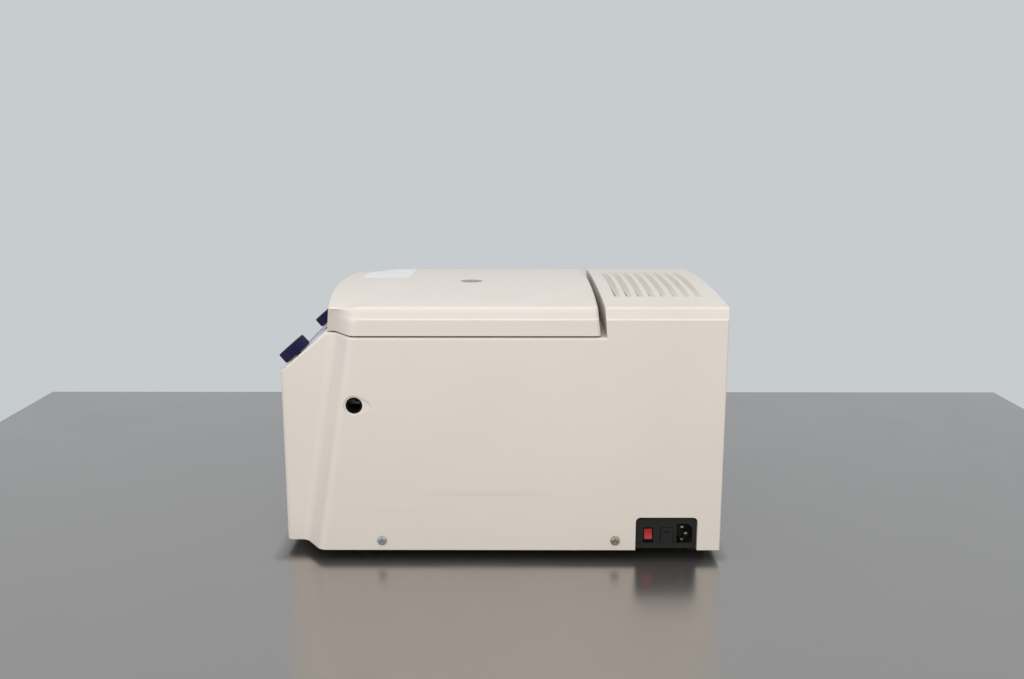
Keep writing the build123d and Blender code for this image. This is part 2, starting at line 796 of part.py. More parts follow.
def rotor_knob():
    """Quick-lock knob with six finger scallops and a stem into the hub."""
    low = rotor_lid_top + touch_gap
    knob = turned([(0, stem_low), (stem_radius, stem_low), (stem_radius, low), (rotor_knob_radius, low),
                   (rotor_knob_radius, low + 15), (0, low + 15)])
    for i in range(6):
        angle = radians(60 * i)
        x = (rotor_knob_radius + 3.5) * cos(angle)
        y = rotor_y + (rotor_knob_radius + 3.5) * sin(angle)
        knob = knob - post(6, x, y, low + 2.5, low + 20)
    return knob


def shaft_boot():
    """Rubber sleeve between the bowl neck and the shaft."""
    return turned([(shaft_radius + 0.6, bowl_floor - 1), (neck_radius, bowl_floor - 1),
                   (neck_radius, bowl_floor + 6), (shaft_radius + 2, bowl_floor + 6),
                   (shaft_radius + 2, bowl_floor + 8), (shaft_radius + 0.6, bowl_floor + 8)])


# Lock

def lock_frame():
    """Folded steel frame under the deck, slotted for the striker."""
    front = striker_y - 13
    back = rotor_y - insulation_radius - part_gap
    top = slab(-14, 66, front, back, deck_under - 2.3, deck_under)
    top = top - slab(-4, 4, striker_y - 12, striker_y + 6.5, deck_under - 5, deck_under + 1)
    left = slab(-14, -11.7, striker_y - 8, back, bolt_z - 11, deck_under - 2)
    right = slab(63.7, 66, striker_y - 8, back, bolt_z - 11, deck_under - 2)
    return top + left + right


def lock_solenoid():
    """Solenoid that draws the bolt back."""
    body = slab(32, 63.7, striker_y - 8.2, striker_y + 8.2, bolt_z - 8.2, bolt_z + 8.2)
    return body - along_x(4.5, 30, 65, striker_y, bolt_z)


def lock_slide():
    """Bolt, carriage and plunger in one piece, drawn with the bolt clear of the striker."""
    carriage = slab(14, 20, striker_y - 5, striker_y + 5, release_z - 5, bolt_z + 5)
    bolt = along_x(bolt_radius, 4, 15, striker_y, bolt_z)
    return carriage + bolt + along_x(4, 19, 52, striker_y, bolt_z)


def release_rod():
    """Pull rod from the carriage to the eye behind the release hole."""
    eye_back = rod_eye_x - 3
    rod = along_x(2, 20, eye_back + 0.5, striker_y, release_z)
    eye = slab(eye_back, rod_eye_x, striker_y - 5, release_y + 5, release_z - 5, release_z + 5)
    eye = fillet(eye.edges().filter_by(Axis.X), 3)
    return rod + eye - along_x(2.4, eye_back - 1, rod_eye_x + 1, release_y, release_z)


def release_bush():
    """Dark bush that lines the release hole."""
    inner = half_width - wall
    tube = along_x(release_radius, inner - 8, half_width - recess_depth, release_y, release_z)
    flange = along_x(release_radius + 2, inner - 2.5, inner, release_y, release_z) & casing_form(wall)
    return tube + flange - along_x(release_radius - 2, inner - 12, half_width + 1, release_y, release_z)


# Control panel

def control_panel():
    """Fascia plate with its display opening, key openings and knob holes."""
    plate = extrude(RectangleRounded(fascia_width - 0.4, fascia_height - 0.4, 4.8), fascia_thickness)
    plate = on_panel(0, fascia_v, -fascia_thickness, plate)
    plate = plate - on_panel(0, display_v, -5, extrude(Rectangle(display_width, display_height), 10))
    for i in range(len(key_names)):
        hole = extrude(Rectangle(key_width, key_height), 10)
        plate = plate - on_panel(key_u(i), key_v, -5, hole)
    for side in (-1, 1):
        plate = plate - on_panel(side * knob_x, knob_v, 0, Cylinder(4.0, 10))
    return plate


def key_u(i):
    """Place of key number i across the panel."""
    return (i - (len(key_names) - 1) / 2) * key_pitch


def key_cap(i):
    """One key with the flange that holds it behind the fascia."""
    cap = extrude(Rectangle(key_width - 2 * touch_gap, key_height - 2 * touch_gap), key_proud + 3)
    cap = chamfer(cap.faces().sort_by(Axis.Z)[-1].edges(), 0.4)
    flange = Pos(0, 0, -1.2) * extrude(Rectangle(key_width + 2, key_height + 2), 1.3)
    return on_panel(key_u(i), key_v, -3, cap + flange)


def display_window():
    """Clear window over the display."""
    lens = extrude(Rectangle(display_width, display_height), 1.2)
    return on_panel(0, display_v, -1.4, lens)


def display_module():
    """Display block between the window and the board."""
    return on_panel(0, display_v, -9, extrude(Rectangle(display_width - 3, display_height - 3), 7.5))


def control_board():
    """Circuit board with a dome switch under each key."""
    board = on_panel(0, fascia_v, -10.6, extrude(Rectangle(window_width - 4, window_height - 4), 1.6))
    for i in range(len(key_names)):
        board = board + on_panel(key_u(i), key_v, -9.2, extrude(Rectangle(6, 6), 3.7))
    for u in (-50, -18, 14, 46):
        board = board + on_panel(u, fascia_v + 3, -13, extrude(Rectangle(14, 10), 2.6))
    return board


def encoders():
    """Rotary encoders behind the two knobs."""
    bodies = []
    for side in (-1, 1):
        body = extrude(Rectangle(15, 15), 9) + Pos(0, 0, 9) * extrude(Circle(3.8), wall - 0.2)
        body = body - Pos(0, 0, 1) * extrude(Circle(knob_shaft_radius + shaft_play), 20)
        bodies.append(on_panel(side * knob_x, knob_v, -wall - 9, body))
    return group(bodies)


def knob(side):
    """Ribbed control knob with its shaft."""
    low = knob_gap
    high = knob_gap + knob_height
    r = knob_radius
    body = Pos(0, 0, low) * extrude(Circle(r - 1.2), high - low)
    body = body - Pos(0, 0, high - 0.6) * extrude(Circle(r - 5), 1)
    ridges = []
    for i in range(2 * knob_ribs):
        angle = pi * i / knob_ribs
        reach = r if i % 2 == 0 else r - knob_rib_depth
        ridges.append((reach * cos(angle), reach * sin(angle)))
    body = body + Pos(0, 0, low + 1.6) * extrude(make_face(Polyline(*ridges, close=True)), high - low - 2.6)
    shaft = Pos(0, 0, -wall - 7.5) * extrude(Circle(knob_shaft_radius), wall + 7.5 + low + 1)
    return on_panel(side * knob_x, knob_v, 0, body + shaft)


# Base and outer fittings

def base_plate():
    """Folded steel tray that closes the bottom, with air slots and a gap at the power inlet."""
    outer = casing_form(wall + touch_gap)
    inner = casing_form(wall + touch_gap + 1.5)
    rim_top = plate_bottom + 16
    tray = outer & slab(-far, far, -far, far, plate_bottom, rim_top)
    tray = tray - (inner & slab(-far, far, -far, far, plate_top, rim_top + 5))
    tray = tray - slab(half_width - 16, half_width, inlet_y0 - 9, inlet_y1 + 9, plate_top, rim_top + 5)
    for y in (-screw_y, screw_y):
        tray = tray - along_x(2.6, -half_width, half_width, y, screw_z)
    for i in range(6):
        slot = Pos(70, 128 + 12 * i, plate_bottom - 1) * extrude(Rectangle(60, 4), 5)
        tray = tray - slot
    return tray


def feet():
    """Four rubber feet."""
    return group([post(foot_radius, x, y, 0, foot_height) for x in (-foot_x, foot_x)
                  for y in (foot_front, foot_rear)])


def pan_screw(radius, head, length):
    """Pan-head screw along +X with the underside of its head at the origin."""
    return along_x(radius / 2, -length, head / 2, 0, 0) + along_x(radius, 0, head, 0, 0)


def casing_screws():
    """Side screws of the casing and the four screws of the rear grille."""
    pieces = []
    for y in (-screw_y, screw_y):
        pieces.append(Pos(half_width, y, screw_z) * pan_screw(screw_radius, screw_head, 9))
        pieces.append(Pos(-half_width, y, screw_z) * Rot(0, 0, 180) * pan_screw(screw_radius, screw_head, 9))
    reach = grille_size / 2 - 7
    for x in (-reach, reach):
        for z in (-reach, reach):
            pieces.append(along_y(3, casing_rear - grille_plate, casing_rear, grille_x + x, grille_z + z))
    return group(pieces)


def rear_grille():
    """Slotted plate over the fan opening."""
    half = grille_size / 2 - touch_gap
    plate = slab(grille_x - half, grille_x + half, casing_rear - grille_plate, casing_rear,
                 grille_z - half, grille_z + half)
    plate = fillet(plate.edges().filter_by(Axis.Y), 3)
    opening = along_y(grille_opening / 2 - 2, casing_rear - 10, casing_rear + 5, grille_x, grille_z)
    for i in range(-4, 5):
        z = grille_z + 11 * i
        slot = slab(grille_x - half, grille_x + half, casing_rear - 5, casing_rear + 5, z - 3.6, z + 3.6)
        plate = plate - (slot & opening)
    reach = grille_size / 2 - 7
    for x in (-reach, reach):
        for z in (-reach, reach):
            plate = plate - along_y(3, casing_rear - 10, casing_rear + 5, grille_x + x, grille_z + z)
    return plate


# Power inlet

def power_inlet():
    """Moulded module: plate, socket recess, switch opening and fuse opening."""
    plate = slab(inlet_face - 3, inlet_face, inlet_y0 - 6, inlet_y1 + 6, plate_top, inlet_top + 6)
    body = slab(inlet_face - 28, inlet_face - 3, inlet_y0 + 5, inlet_y1 - 2, plate_top, inlet_top - 2)
    whole = plate + body
    socket = Plane.YZ.offset(inlet_face - socket_depth) * Pos(socket_y, socket_z) * Rectangle(
        socket_width, socket_height)
    socket = chamfer([v for v in socket.vertices() if v.Y > socket_y], 4.5)
    socket = fillet([v for v in socket.vertices() if v.Y < socket_y], 1.5)
    whole = whole - extrude(socket, socket_depth + 5)
    reach = rocker_half + 1.2
    whole = whole - slab(inlet_face - 16, inlet_face + 5, rocker_y - rocker_width / 2 - touch_gap,
                         rocker_y + rocker_width / 2 + touch_gap, rocker_z - reach, rocker_z + reach)
    reach = rocker_width / 2 + trunnion_length + touch_gap
    whole = whole - along_y(trunnion_radius + trunnion_play, rocker_y - reach, rocker_y + reach,
                            rocker_pivot_x, rocker_z)
    whole = whole - slab(inlet_face - drawer_length - 2, inlet_face + 5, drawer_y0 - touch_gap,
                         drawer_y1 + touch_gap, drawer_z0 - touch_gap, drawer_z1 + touch_gap)
    return whole


def inlet_pins():
    """Three flat contact pins in the socket."""
    x0 = inlet_face - socket_depth
    pins = []
    for y, z in ((socket_y - 2, socket_z - 7), (socket_y - 2, socket_z + 7), (socket_y + 2, socket_z)):
        pin = slab(x0, x0 + 14, y - 2, y + 2, z - 1, z + 1)
        pins.append(chamfer(pin.edges().filter_by(Axis.Z).group_by(Axis.X)[-1], 0.6))
    return group(pins)


def rocker():
    """Rocker of the mains switch, tipped to its off side."""
    points = [(-5, 4 - rocker_half), (-5, rocker_half - 4), (3, rocker_half), (7.5, rocker_half - 0.6), (5.9, 0),
              (7.5, 0.6 - rocker_half), (3, -rocker_half)]
    face = make_face(Plane.XZ * Polyline(*points, close=True))
    body = extrude(face, rocker_width / 2, both=True)
    reach = rocker_width / 2 + trunnion_length
    body = Rot(0, -rocker_tilt, 0) * body + along_y(trunnion_radius, -reach, reach, 0, 0)
    return Pos(rocker_pivot_x, rocker_y, rocker_z) * body


def fuse_drawer():
    """Small drawer with two fuse bores and a finger lip."""
    body = slab(inlet_face - drawer_length, inlet_face + 1.2, drawer_y0, drawer_y1, drawer_z0, drawer_z1)
    front = [e for e in body.edges() if abs(e.center().X - inlet_face - 1.2) < 0.01]
    body = chamfer(front, 0.5)
    body = body - slab(inlet_face - 0.3, inlet_face + 3, drawer_y0 + 3.5, drawer_y1 - 3.5,
                       drawer_z1 - 5, drawer_z1 - 3)
    for z in fuse_heights:
        body = body - along_x(fuse_radius + 0.1, inlet_face - 30, inlet_face - 4, fuse_y, z)
    return body


def fuses():
    """Two glass fuses."""
    return group([along_x(fuse_radius, inlet_face - drawer_length, inlet_face - 4, fuse_y, z)
                  for z in fuse_heights])


# Cooling

def compressor():
    """Hermetic compressor can with its weld seam and foot plate."""
    high = compressor_low + compressor_height
    r = compressor_radius
    can = make_face(Plane.XZ * Polyline((0, compressor_low), (r, compressor_low), (r, high), (0, high), close=True))
    can = chamfer([v for v in can.vertices() if v.X > 1 and v.Z > compressor_low + 1], 18, 14)
    can = revolve(can, Axis.Z) + Pos(0, 0, high - 58) * Cylinder(r + 2.5, 4)
    plate = Pos(0, 0, compressor_low - 2) * extrude(RectangleRounded(2 * r - 4, 2 * r - 12, 10), 4)
    box = Pos(0, -r + 1, high - 85) * Box(30, 12, 28)
    return Pos(compressor_x, compressor_y, 0) * (can + plate + box)


def compressor_mounts():
    """Four rubber grommets under the compressor."""
    pieces = []
    for x in (-38, 38):
        for y in (-34, 34):
            pieces.append(slab(compressor_x + x - 7, compressor_x + x + 7, compressor_y + y - 7,
                               compressor_y + y + 7, plate_top, compressor_low - 2))
    return group(pieces)


def condenser():
    """Fin pack between two end plates, with the return bends of its tube."""
    x0 = condenser_x0
    x1 = condenser_x1
    y0 = condenser_y0
    y1 = condenser_y0 + condenser_depth
    z0 = condenser_z0
    z1 = condenser_z0 + condenser_height
    pack = [slab(x0, x1, y0, y1, z0, z0 + 2), slab(x0, x1, y0, y1, z1 - 2, z1)]
    fins = int(condenser_width / 7)
    for i in range(fins + 1):
        x = x0 + i * (condenser_width - 1.2) / fins
        pack.append(slab(x, x + 1.2, y0, y1, z0, z1))
    core = joined(pack)
    mid = (y0 + y1) / 2
    row_pitch = (condenser_height - 2 * row_set) / (condenser_rows - 1)
    rows = [z0 + row_set + row_pitch * i for i in range(condenser_rows)]
    for i in range(len(rows) - 1):
        ring = along_y(row_pitch / 2 + tube_bend_radius, mid - tube_bend_radius, mid + tube_bend_radius, 0, 0)
        ring = ring - along_y(row_pitch / 2 - tube_bend_radius, y0, y1, 0, 0)
        if i % 2 == 0:
            bend = Pos(x1, 0, rows[i] + row_pitch / 2) * ring
            core = core + (bend & slab(x1, x1 + row_pitch, y0, y1, z0, z1))
        else:
            bend = Pos(x0, 0, rows[i] + row_pitch / 2) * ring
            core = core + (bend & slab(x0 - row_pitch, x0, y0, y1, z0, z1))
    legs = slab(x0, x0 + 3, y0, y1, plate_top, z0) + slab(x1 - 3, x1, y0, y1, inlet_top + 8, z0)
    return core + legs


def fan_frame():
    """Fan frame with its hub and four spokes."""
    half = fan_size / 2
    y0 = fan_y
    y1 = fan_y + fan_depth
    frame = slab(grille_x - half, grille_x + half, y0, y1, grille_z - half, grille_z + half)
    frame = fillet(frame.edges().filter_by(Axis.Y), 6)
    frame = frame - along_y(half - 3, y0 - 1, y1 + 1, grille_x, grille_z)
    hub = along_y(18, y1 - 5, y1, grille_x, grille_z) + along_y(fan_pin_radius, y0 + 6, y1 - 4, grille_x, grille_z)
    for i in range(4):
        spoke = slab(10, half, y1 - 4, y1, -2.5, 2.5)
        hub = hub + Pos(grille_x, 0, grille_z) * Rot(0, 45 + 90 * i, 0) * spoke
    leg = slab(grille_x - 30, grille_x - 24, y0 + 4, y1 - 4, plate_top, grille_z - half)
    foot = slab(grille_x + 18, grille_x + 24, y0 + 4, y1 - 4, plate_top, grille_z - half)
    return frame + hub + leg + foot


def fan_impeller():
    """Seven pitched blades on a hub cup."""
    y0 = fan_y + 3
    y1 = fan_y + fan_depth - 7
    hub = along_y(19, y0, y1, 0, 0)
    hub = hub - along_y(16, y0 + 2.5, y1 + 1, 0, 0)
    hub = hub + along_y(5, y0 + 1, y1, 0, 0)
    hub = hub - along_y(fan_pin_radius + shaft_play, y0 + 2, y1 + 1, 0, 0)
    tip = fan_size / 2 - 4.5
    mid = (y0 + y1) / 2
    blade = Pos(0, mid, (tip + 17.5) / 2) * Rot(0, 0, 38) * Box(19, 1.8, tip - 17.5)
    for i in range(7):
        hub = hub + Rot(0, i * 360 / 7, 0) * blade
    return Pos(grille_x, 0, grille_z) * hub


def filter_drier():
    """Copper drier with necked ends."""
    neck = post(4, drier_x, drier_y, drier_low, drier_low + drier_length)
    return neck + post(9, drier_x, drier_y, drier_low + drier_neck, drier_low + drier_length - drier_neck)


def pipe(points, radius):
    """A copper pipe along straight runs that meet in mitred elbows."""
    path = Polyline(*points)
    start = Vector(points[0])
    heading = (Vector(points[1]) - start).normalized()
    return sweep(Plane(origin=start, z_dir=heading) * Circle(radius), path=path, transition=Transition.RIGHT)


def refrigerant_pipes():
    """Discharge, liquid, feed and suction pipes."""
    high = compressor_low + compressor_height
    mid = condenser_y0 + condenser_depth / 2
    left = condenser_x0 - 14
    inlet_z = condenser_z0 + condenser_height - 12
    outlet_z = condenser_z0 + 12
    discharge = [(compressor_x, compressor_y, high), (compressor_x, compressor_y, high + 30),
                 (left, mid, high + 30), (left, mid, inlet_z), (condenser_x0, mid, inlet_z)]
    liquid = [(condenser_x0, mid, outlet_z), (left, mid, outlet_z), (left, mid, drier_low - 16),
              (drier_x, drier_y, drier_low - 16), (drier_x, drier_y, drier_low)]
    rear = rotor_y + coil_radius
    outside = rotor_y + insulation_radius + 16
    feed = [(coil_stub, rear, coil_low), (pipe_x, rear, coil_low), (pipe_x, outside, coil_low),
            (drier_x, drier_y - 26, drier_low + 110), (drier_x, drier_y, drier_low + 110),
            (drier_x, drier_y, drier_low + drier_length)]
    top = coil_low + coil_turns * coil_pitch
    suction = [(-coil_stub, rear, top), (-pipe_x, rear, top), (-pipe_x, outside, top),
               (-pipe_x, outside, 60), (compressor_x, outside, 60),
               (compressor_x, compressor_y - compressor_radius, 60)]
    return group([pipe(discharge, tube_bend_radius), pipe(liquid, tube_bend_radius), pipe(feed, pipe_radius),
                  pipe(suction, pipe_radius)])


def power_board():
    """Inverter board with its capacitors, transformer and finned heat sink."""
    x = board_side
    y = board_y
    face = y + board_thickness - 0.5
    pieces = [slab(x, x + board_width, y, y + board_thickness, plate_top, board_top)]
    for place in (16, 38):
        pieces.append(along_y(9, face, y + 34, x + place, board_top - 32))
    pieces.append(slab(x + 8, x + 42, face, y + 26, sink_low, sink_low + 28))
    sink = x + board_width - 28
    pieces.append(slab(sink, sink + sink_fins * sink_pitch, face, y + 6, sink_low, sink_high))
    for i in range(sink_fins):
        fin = sink + 1 + sink_pitch * i
        pieces.append(slab(fin, fin + 2, y + 5, y + 24, sink_low, sink_high))
    return joined(pieces)


nodes = {
    "housing": casing,
    "base_plate": base_plate,
    "feet": feet,
    "casing_screws": casing_screws,
    "rear_grille": rear_grille,
    "control_panel": control_panel,
    "display_window": display_window,
    "display_module": display_module,
    "control_board": control_board,
    "encoders": encoders,
    "bowl": bowl,
    "shaft_boot": shaft_boot,
    "bowl_insulation": bowl_insulation,
    "evaporator_coil": evaporator_coil,
    "bowl_gasket": bowl_gasket,
    "motor_housing": motor_housing,
    "motor_stator": motor_stator,
    "motor_plate": motor_plate,
    "motor_isolators": motor_isolators,
    "bearings": bearings,
    "drive_shaft": drive_shaft,
    "motor_armature": motor_armature,
    "rotor": rotor,
    "rotor_lid": rotor_lid,
    "rotor_knob": rotor_knob,
    "hinge_brackets": hinge_brackets,
    "hinge_pins": hinge_pins,
    "lid_shell": lid_shell,
    "lid_liner": lid_liner,
    "lid_window": lid_window,
    "sight_tube": sight_tube,
    "lid_seal": lid_seal,
    "lid_striker": lid_striker,
    "hinge_knuckles": hinge_knuckles,
    "lock_frame": lock_frame,
    "lock_solenoid": lock_solenoid,
    "lock_slide": lock_slide,
    "release_rod": release_rod,
    "release_bush": release_bush,
    "power_inlet": power_inlet,
    "inlet_pins": inlet_pins,
    "rocker": rocker,
    "fuse_drawer": fuse_drawer,
    "fuses": fuses,
    "compressor": compressor,
    "compressor_mounts": compressor_mounts,
    "condenser": condenser,
    "fan_frame": fan_frame,
    "fan_impeller": fan_impeller,
    "filter_drier": filter_drier,
    "refrigerant_pipes": refrigerant_pipes,
    "power_board": power_board,
}

for name, maker in nodes.items():
    save(maker(), name)
save(knob(-1), "knob_left")
save(knob(1), "knob_right")
for number, name in enumerate(key_names):
    save(key_cap(number), "key_" + name)
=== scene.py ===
import json
import math

import bmesh
import bpy
import numpy as np
from mathutils import Matrix, Vector
from mathutils.bvhtree import BVHTree


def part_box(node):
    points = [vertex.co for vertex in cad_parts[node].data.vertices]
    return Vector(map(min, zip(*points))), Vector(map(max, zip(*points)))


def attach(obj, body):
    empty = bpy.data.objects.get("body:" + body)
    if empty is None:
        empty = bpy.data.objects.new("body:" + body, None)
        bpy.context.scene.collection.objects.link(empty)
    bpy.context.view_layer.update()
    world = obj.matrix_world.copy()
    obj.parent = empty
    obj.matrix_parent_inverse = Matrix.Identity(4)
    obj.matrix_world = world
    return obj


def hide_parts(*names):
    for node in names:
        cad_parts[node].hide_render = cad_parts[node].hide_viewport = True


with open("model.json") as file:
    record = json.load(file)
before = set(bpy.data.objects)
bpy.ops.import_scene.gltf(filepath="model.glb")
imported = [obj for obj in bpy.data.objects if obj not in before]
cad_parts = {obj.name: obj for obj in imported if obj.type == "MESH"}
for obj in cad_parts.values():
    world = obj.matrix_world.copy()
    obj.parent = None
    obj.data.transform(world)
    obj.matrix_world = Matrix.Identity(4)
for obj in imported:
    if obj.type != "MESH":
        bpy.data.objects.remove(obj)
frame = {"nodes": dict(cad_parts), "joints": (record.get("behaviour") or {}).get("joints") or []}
nodes = frame["nodes"]
joints = {j["name"]: j for j in frame["joints"]}
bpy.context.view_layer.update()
scene = bpy.context.scene

# Bottom tray
# The tray is folded from zinc plated sheet steel, with air slots pressed out under the condenser.
# Every plated sheet part of the machine shares its grey, faintly crystalled finish.

zinc_grey = (0.52, 0.53, 0.54)
crystal_size = 260.0
noise_band = (0.3, 0.7)


def new_finish(name, colour, roughness, metallic=0.0, **more):
    """A material with one shader, its even values written on the shader's own sockets."""
    finish = bpy.data.materials.new(name)
    finish.use_nodes = True
    even = {"Base_Color": (*colour, 1), "Roughness": roughness, "Metallic": metallic, **more}
    for socket, value in even.items():
        shader_of(finish).inputs[socket.replace("_", " ")].default_value = value
    return finish


def add(finish, kind, **values):
    """Adds a node to a finish and sets its properties or, by name, its inputs."""
    node = finish.node_tree.nodes.new(kind)
    for name, value in values.items():
        socket = name.replace("_", " ")
        if socket in node.inputs:
            node.inputs[socket].default_value = value
        else:
            setattr(node, name, value)
    return node


def join(finish, start, end):
    """Links an output socket to an input socket."""
    finish.node_tree.links.new(start, end)


def shader_of(finish):
    """The one shader of a finish."""
    return finish.node_tree.nodes["Principled BSDF"]


def place_of(finish, stretch=(1, 1, 1), turn=(0, 0, 0), shift=(0, 0, 0)):
    """Object coordinates in metres, moved, turned and stretched."""
    source = add(finish, "ShaderNodeTexCoord")
    mapping = add(finish, "ShaderNodeMapping")
    mapping.inputs["Location"].default_value = shift
    mapping.inputs["Rotation"].default_value = turn
    mapping.inputs["Scale"].default_value = stretch
    join(finish, source.outputs["Object"], mapping.inputs["Vector"])
    return mapping.outputs["Vector"]


def placed(finish, kind, where=None, **values):
    """Adds a node that reads the place of each point."""
    node = add(finish, kind, **values)
    join(finish, place_of(finish, **(where or {})), node.inputs["Vector"])
    return node


def noise(finish, scale, detail=3.0, rough=0.5, **where):
    """Value of a noise field of that many cells a metre."""
    field = placed(finish, "ShaderNodeTexNoise", where, Scale=scale, Detail=detail, Roughness=rough)
    return field.outputs["Fac"]


def spread(finish, value, low, high, out_low, out_high):
    """Carries a value's band from low to high onto another band."""
    band = add(finish, "ShaderNodeMapRange", clamp=True)
    limits = {"From Min": low, "From Max": high, "To Min": out_low, "To Max": out_high}
    for name, number in limits.items():
        band.inputs[name].default_value = number
    join(finish, value, band.inputs["Value"])
    return band.outputs["Result"]


def tint(finish, value, first, second, base=None):
    """Colour that goes from first to second with the value; base, a colour output, stands for first."""
    mix = add(finish, "ShaderNodeMix", data_type="RGBA")
    mix.inputs[6].default_value = (*first, 1) if base is None else (0, 0, 0, 1)
    mix.inputs[7].default_value = (*second, 1)
    join(finish, value, mix.inputs[0])
    if base is not None:
        join(finish, base, mix.inputs[6])
    return mix.outputs[2]


def colour_with(finish, colour):
    """Base colour that follows a colour output."""
    join(finish, colour, shader_of(finish).inputs["Base Color"])


def two_tone(finish, value, first, second):
    """Base colour that goes from first to second with a value."""
    colour_with(finish, tint(finish, value, first, second))


def gloss_with(finish, value, low, high):
    """Roughness that follows a value between two limits."""
    join(finish, spread(finish, value, *noise_band, low, high), shader_of(finish).inputs["Roughness"])


def relief(finish, height, depth, below=None, edge=0.0):
    """Bump of that depth in metres, over another bump or over edges rounded by a radius."""
    bump = add(finish, "ShaderNodeBump", Distance=depth)
    join(finish, height, bump.inputs["Height"])
    if below is not None:
        join(finish, below, bump.inputs["Normal"])
    elif edge:
        soft = add(finish, "ShaderNodeBevel", samples=4, Radius=edge)
        join(finish, soft.outputs["Normal"], bump.inputs["Normal"])
    join(finish, bump.outputs["Normal"], shader_of(finish).inputs["Normal"])
    return bump.outputs["Normal"]


def wear(finish, *names):
    """Gives a finish to CAD nodes."""
    for name in names:
        mesh = nodes[name].data
        mesh.materials.clear()
        mesh.materials.append(finish)


def plated_sheet():
    """Zinc plating: pale crystals from cells, long faint rolling marks and soft blotches."""
    finish = new_finish("plated_sheet", zinc_grey, 0.38, 0.85)
    crystals = placed(finish, "ShaderNodeTexVoronoi", Scale=crystal_size)
    cell = add(finish, "ShaderNodeSeparateColor")
    join(finish, crystals.outputs["Color"], cell.inputs["Color"])
    pale = spread(finish, cell.outputs["Red"], 0, 1, 0, 0.35)
    two_tone(finish, pale, zinc_grey, (0.66, 0.67, 0.69))
    gloss_with(finish, noise(finish, 30, 4), 0.3, 0.5)
    relief(finish, noise(finish, 220, 2, stretch=(1, 0.06, 1)), 0.00004, edge=0.0004)
    return finish


sheet_steel = plated_sheet()
wear(sheet_steel, "base_plate", "lock_frame", "motor_plate", "hinge_brackets")

# Feet
# Four turned rubber feet, each with a countersunk hole for the screw that holds it to the tray.
# They are matt black, a little dusty on their sides.

foot_low, foot_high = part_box("feet")
foot_tall = foot_high.z - foot_low.z
foot_wide = 0.013
foot_hole = 0.0045
foot_sink = 0.006
foot_hollow = 0.004
foot_bevel = 0.002
foot_side_share = 0.8
foot_shrink = 0.0012
foot_soft = 0.0008
foot_turns = 64
foot_places = [(x, y) for x in (foot_low.x + foot_wide, foot_high.x - foot_wide)
               for y in (foot_low.y + foot_wide, foot_high.y - foot_wide)]


def closed_mesh(name, grids, finish):
    """One object from grids of points, each closed in its second direction, whose ends are poles
    or meet each other. Doubles are merged."""
    points, faces, start = [], [], 0
    for grid in grids:
        rows, columns = grid.shape[:2]
        index = start + np.arange(rows * columns).reshape(rows, columns)
        beside = np.roll(index, -1, axis=1)
        quads = np.stack([index[:-1], beside[:-1], beside[1:], index[1:]], axis=-1).reshape(-1, 4)
        points.append(grid.reshape(-1, 3))
        faces.append(quads)
        start += rows * columns
    work = worked(name, np.concatenate(points), np.concatenate(faces).tolist())
    bmesh.ops.remove_doubles(work, verts=work.verts, dist=1e-7)
    bmesh.ops.dissolve_degenerate(work, dist=1e-8, edges=work.edges)
    return finished(name, work, finish)


def worked(name, points, faces):
    """A mesh from points and faces, open for work on its parts."""
    mesh = bpy.data.meshes.new(name)
    mesh.from_pydata(points.tolist(), [], faces)
    work = bmesh.new()
    work.from_mesh(mesh)
    bpy.data.meshes.remove(mesh)
    return work


def finished(name, work, finish):
    """The object of a mesh that was worked on, its faces turned outwards."""
    bmesh.ops.recalc_face_normals(work, faces=work.faces)
    mesh = bpy.data.meshes.new(name)
    work.to_mesh(mesh)
    work.free()
    return shown(name, mesh, finish)


def shown(name, mesh, finish, crease=30):
    """An object at the origin, smooth but for edges sharper than the crease, in degrees."""
    mesh.materials.append(finish)
    mesh.polygons.foreach_set("use_smooth", np.ones(len(mesh.polygons), bool))
    mesh.set_sharp_from_angle(angle=math.radians(crease))
    piece = bpy.data.objects.new(name, mesh)
    scene.collection.objects.link(piece)
    return piece


def lathe(profile, turns, x=0.0, y=0.0, z=0.0):
    """Grid of a profile of radius and height carried round an upright axis: (r cos t, r sin t, h)."""
    profile = np.array(profile, float)
    angle = np.arange(turns) * 2 * np.pi / turns
    radius = profile[:, :1]
    height = np.broadcast_to(profile[:, 1:], (len(profile), turns))
    return np.stack([x + radius * np.cos(angle), y + radius * np.sin(angle), z + height], axis=-1)


def rounded(profile, radius, steps=4):
    """A profile whose inner corners become arcs: each corner gives a curve between the two points
    that lie a radius away from it, by the quadratic (1-s)^2 a + 2s(1-s) corner + s^2 b."""
    profile = [np.array(p, float) for p in profile]
    out = [profile[0]]
    for before, corner, after in zip(profile, profile[1:], profile[2:]):
        reach = min(radius, np.linalg.norm(before - corner) / 2, np.linalg.norm(after - corner) / 2)
        a = corner + (before - corner) / np.linalg.norm(before - corner) * reach
        b = corner + (after - corner) / np.linalg.norm(after - corner) * reach
        for s in np.linspace(0, 1, steps):
            out.append((1 - s) ** 2 * a + 2 * s * (1 - s) * corner + s ** 2 * b)
    out.append(profile[-1])
    return out


def rubber(name, shade, dust):
    """Matt rubber: near black, with pale dust in patches and a fine moulded grain."""
    finish = new_finish(name, (shade, shade, shade * 1.05), 0.7)
    patches = spread(finish, noise(finish, 60, 5, 0.6), 0.5, 0.75, 0, dust)
    two_tone(finish, patches, (shade, shade, shade * 1.05), (0.24, 0.22, 0.2))
    relief(finish, noise(finish, 2200, 2), 0.00003, edge=0.0004)
    return finish


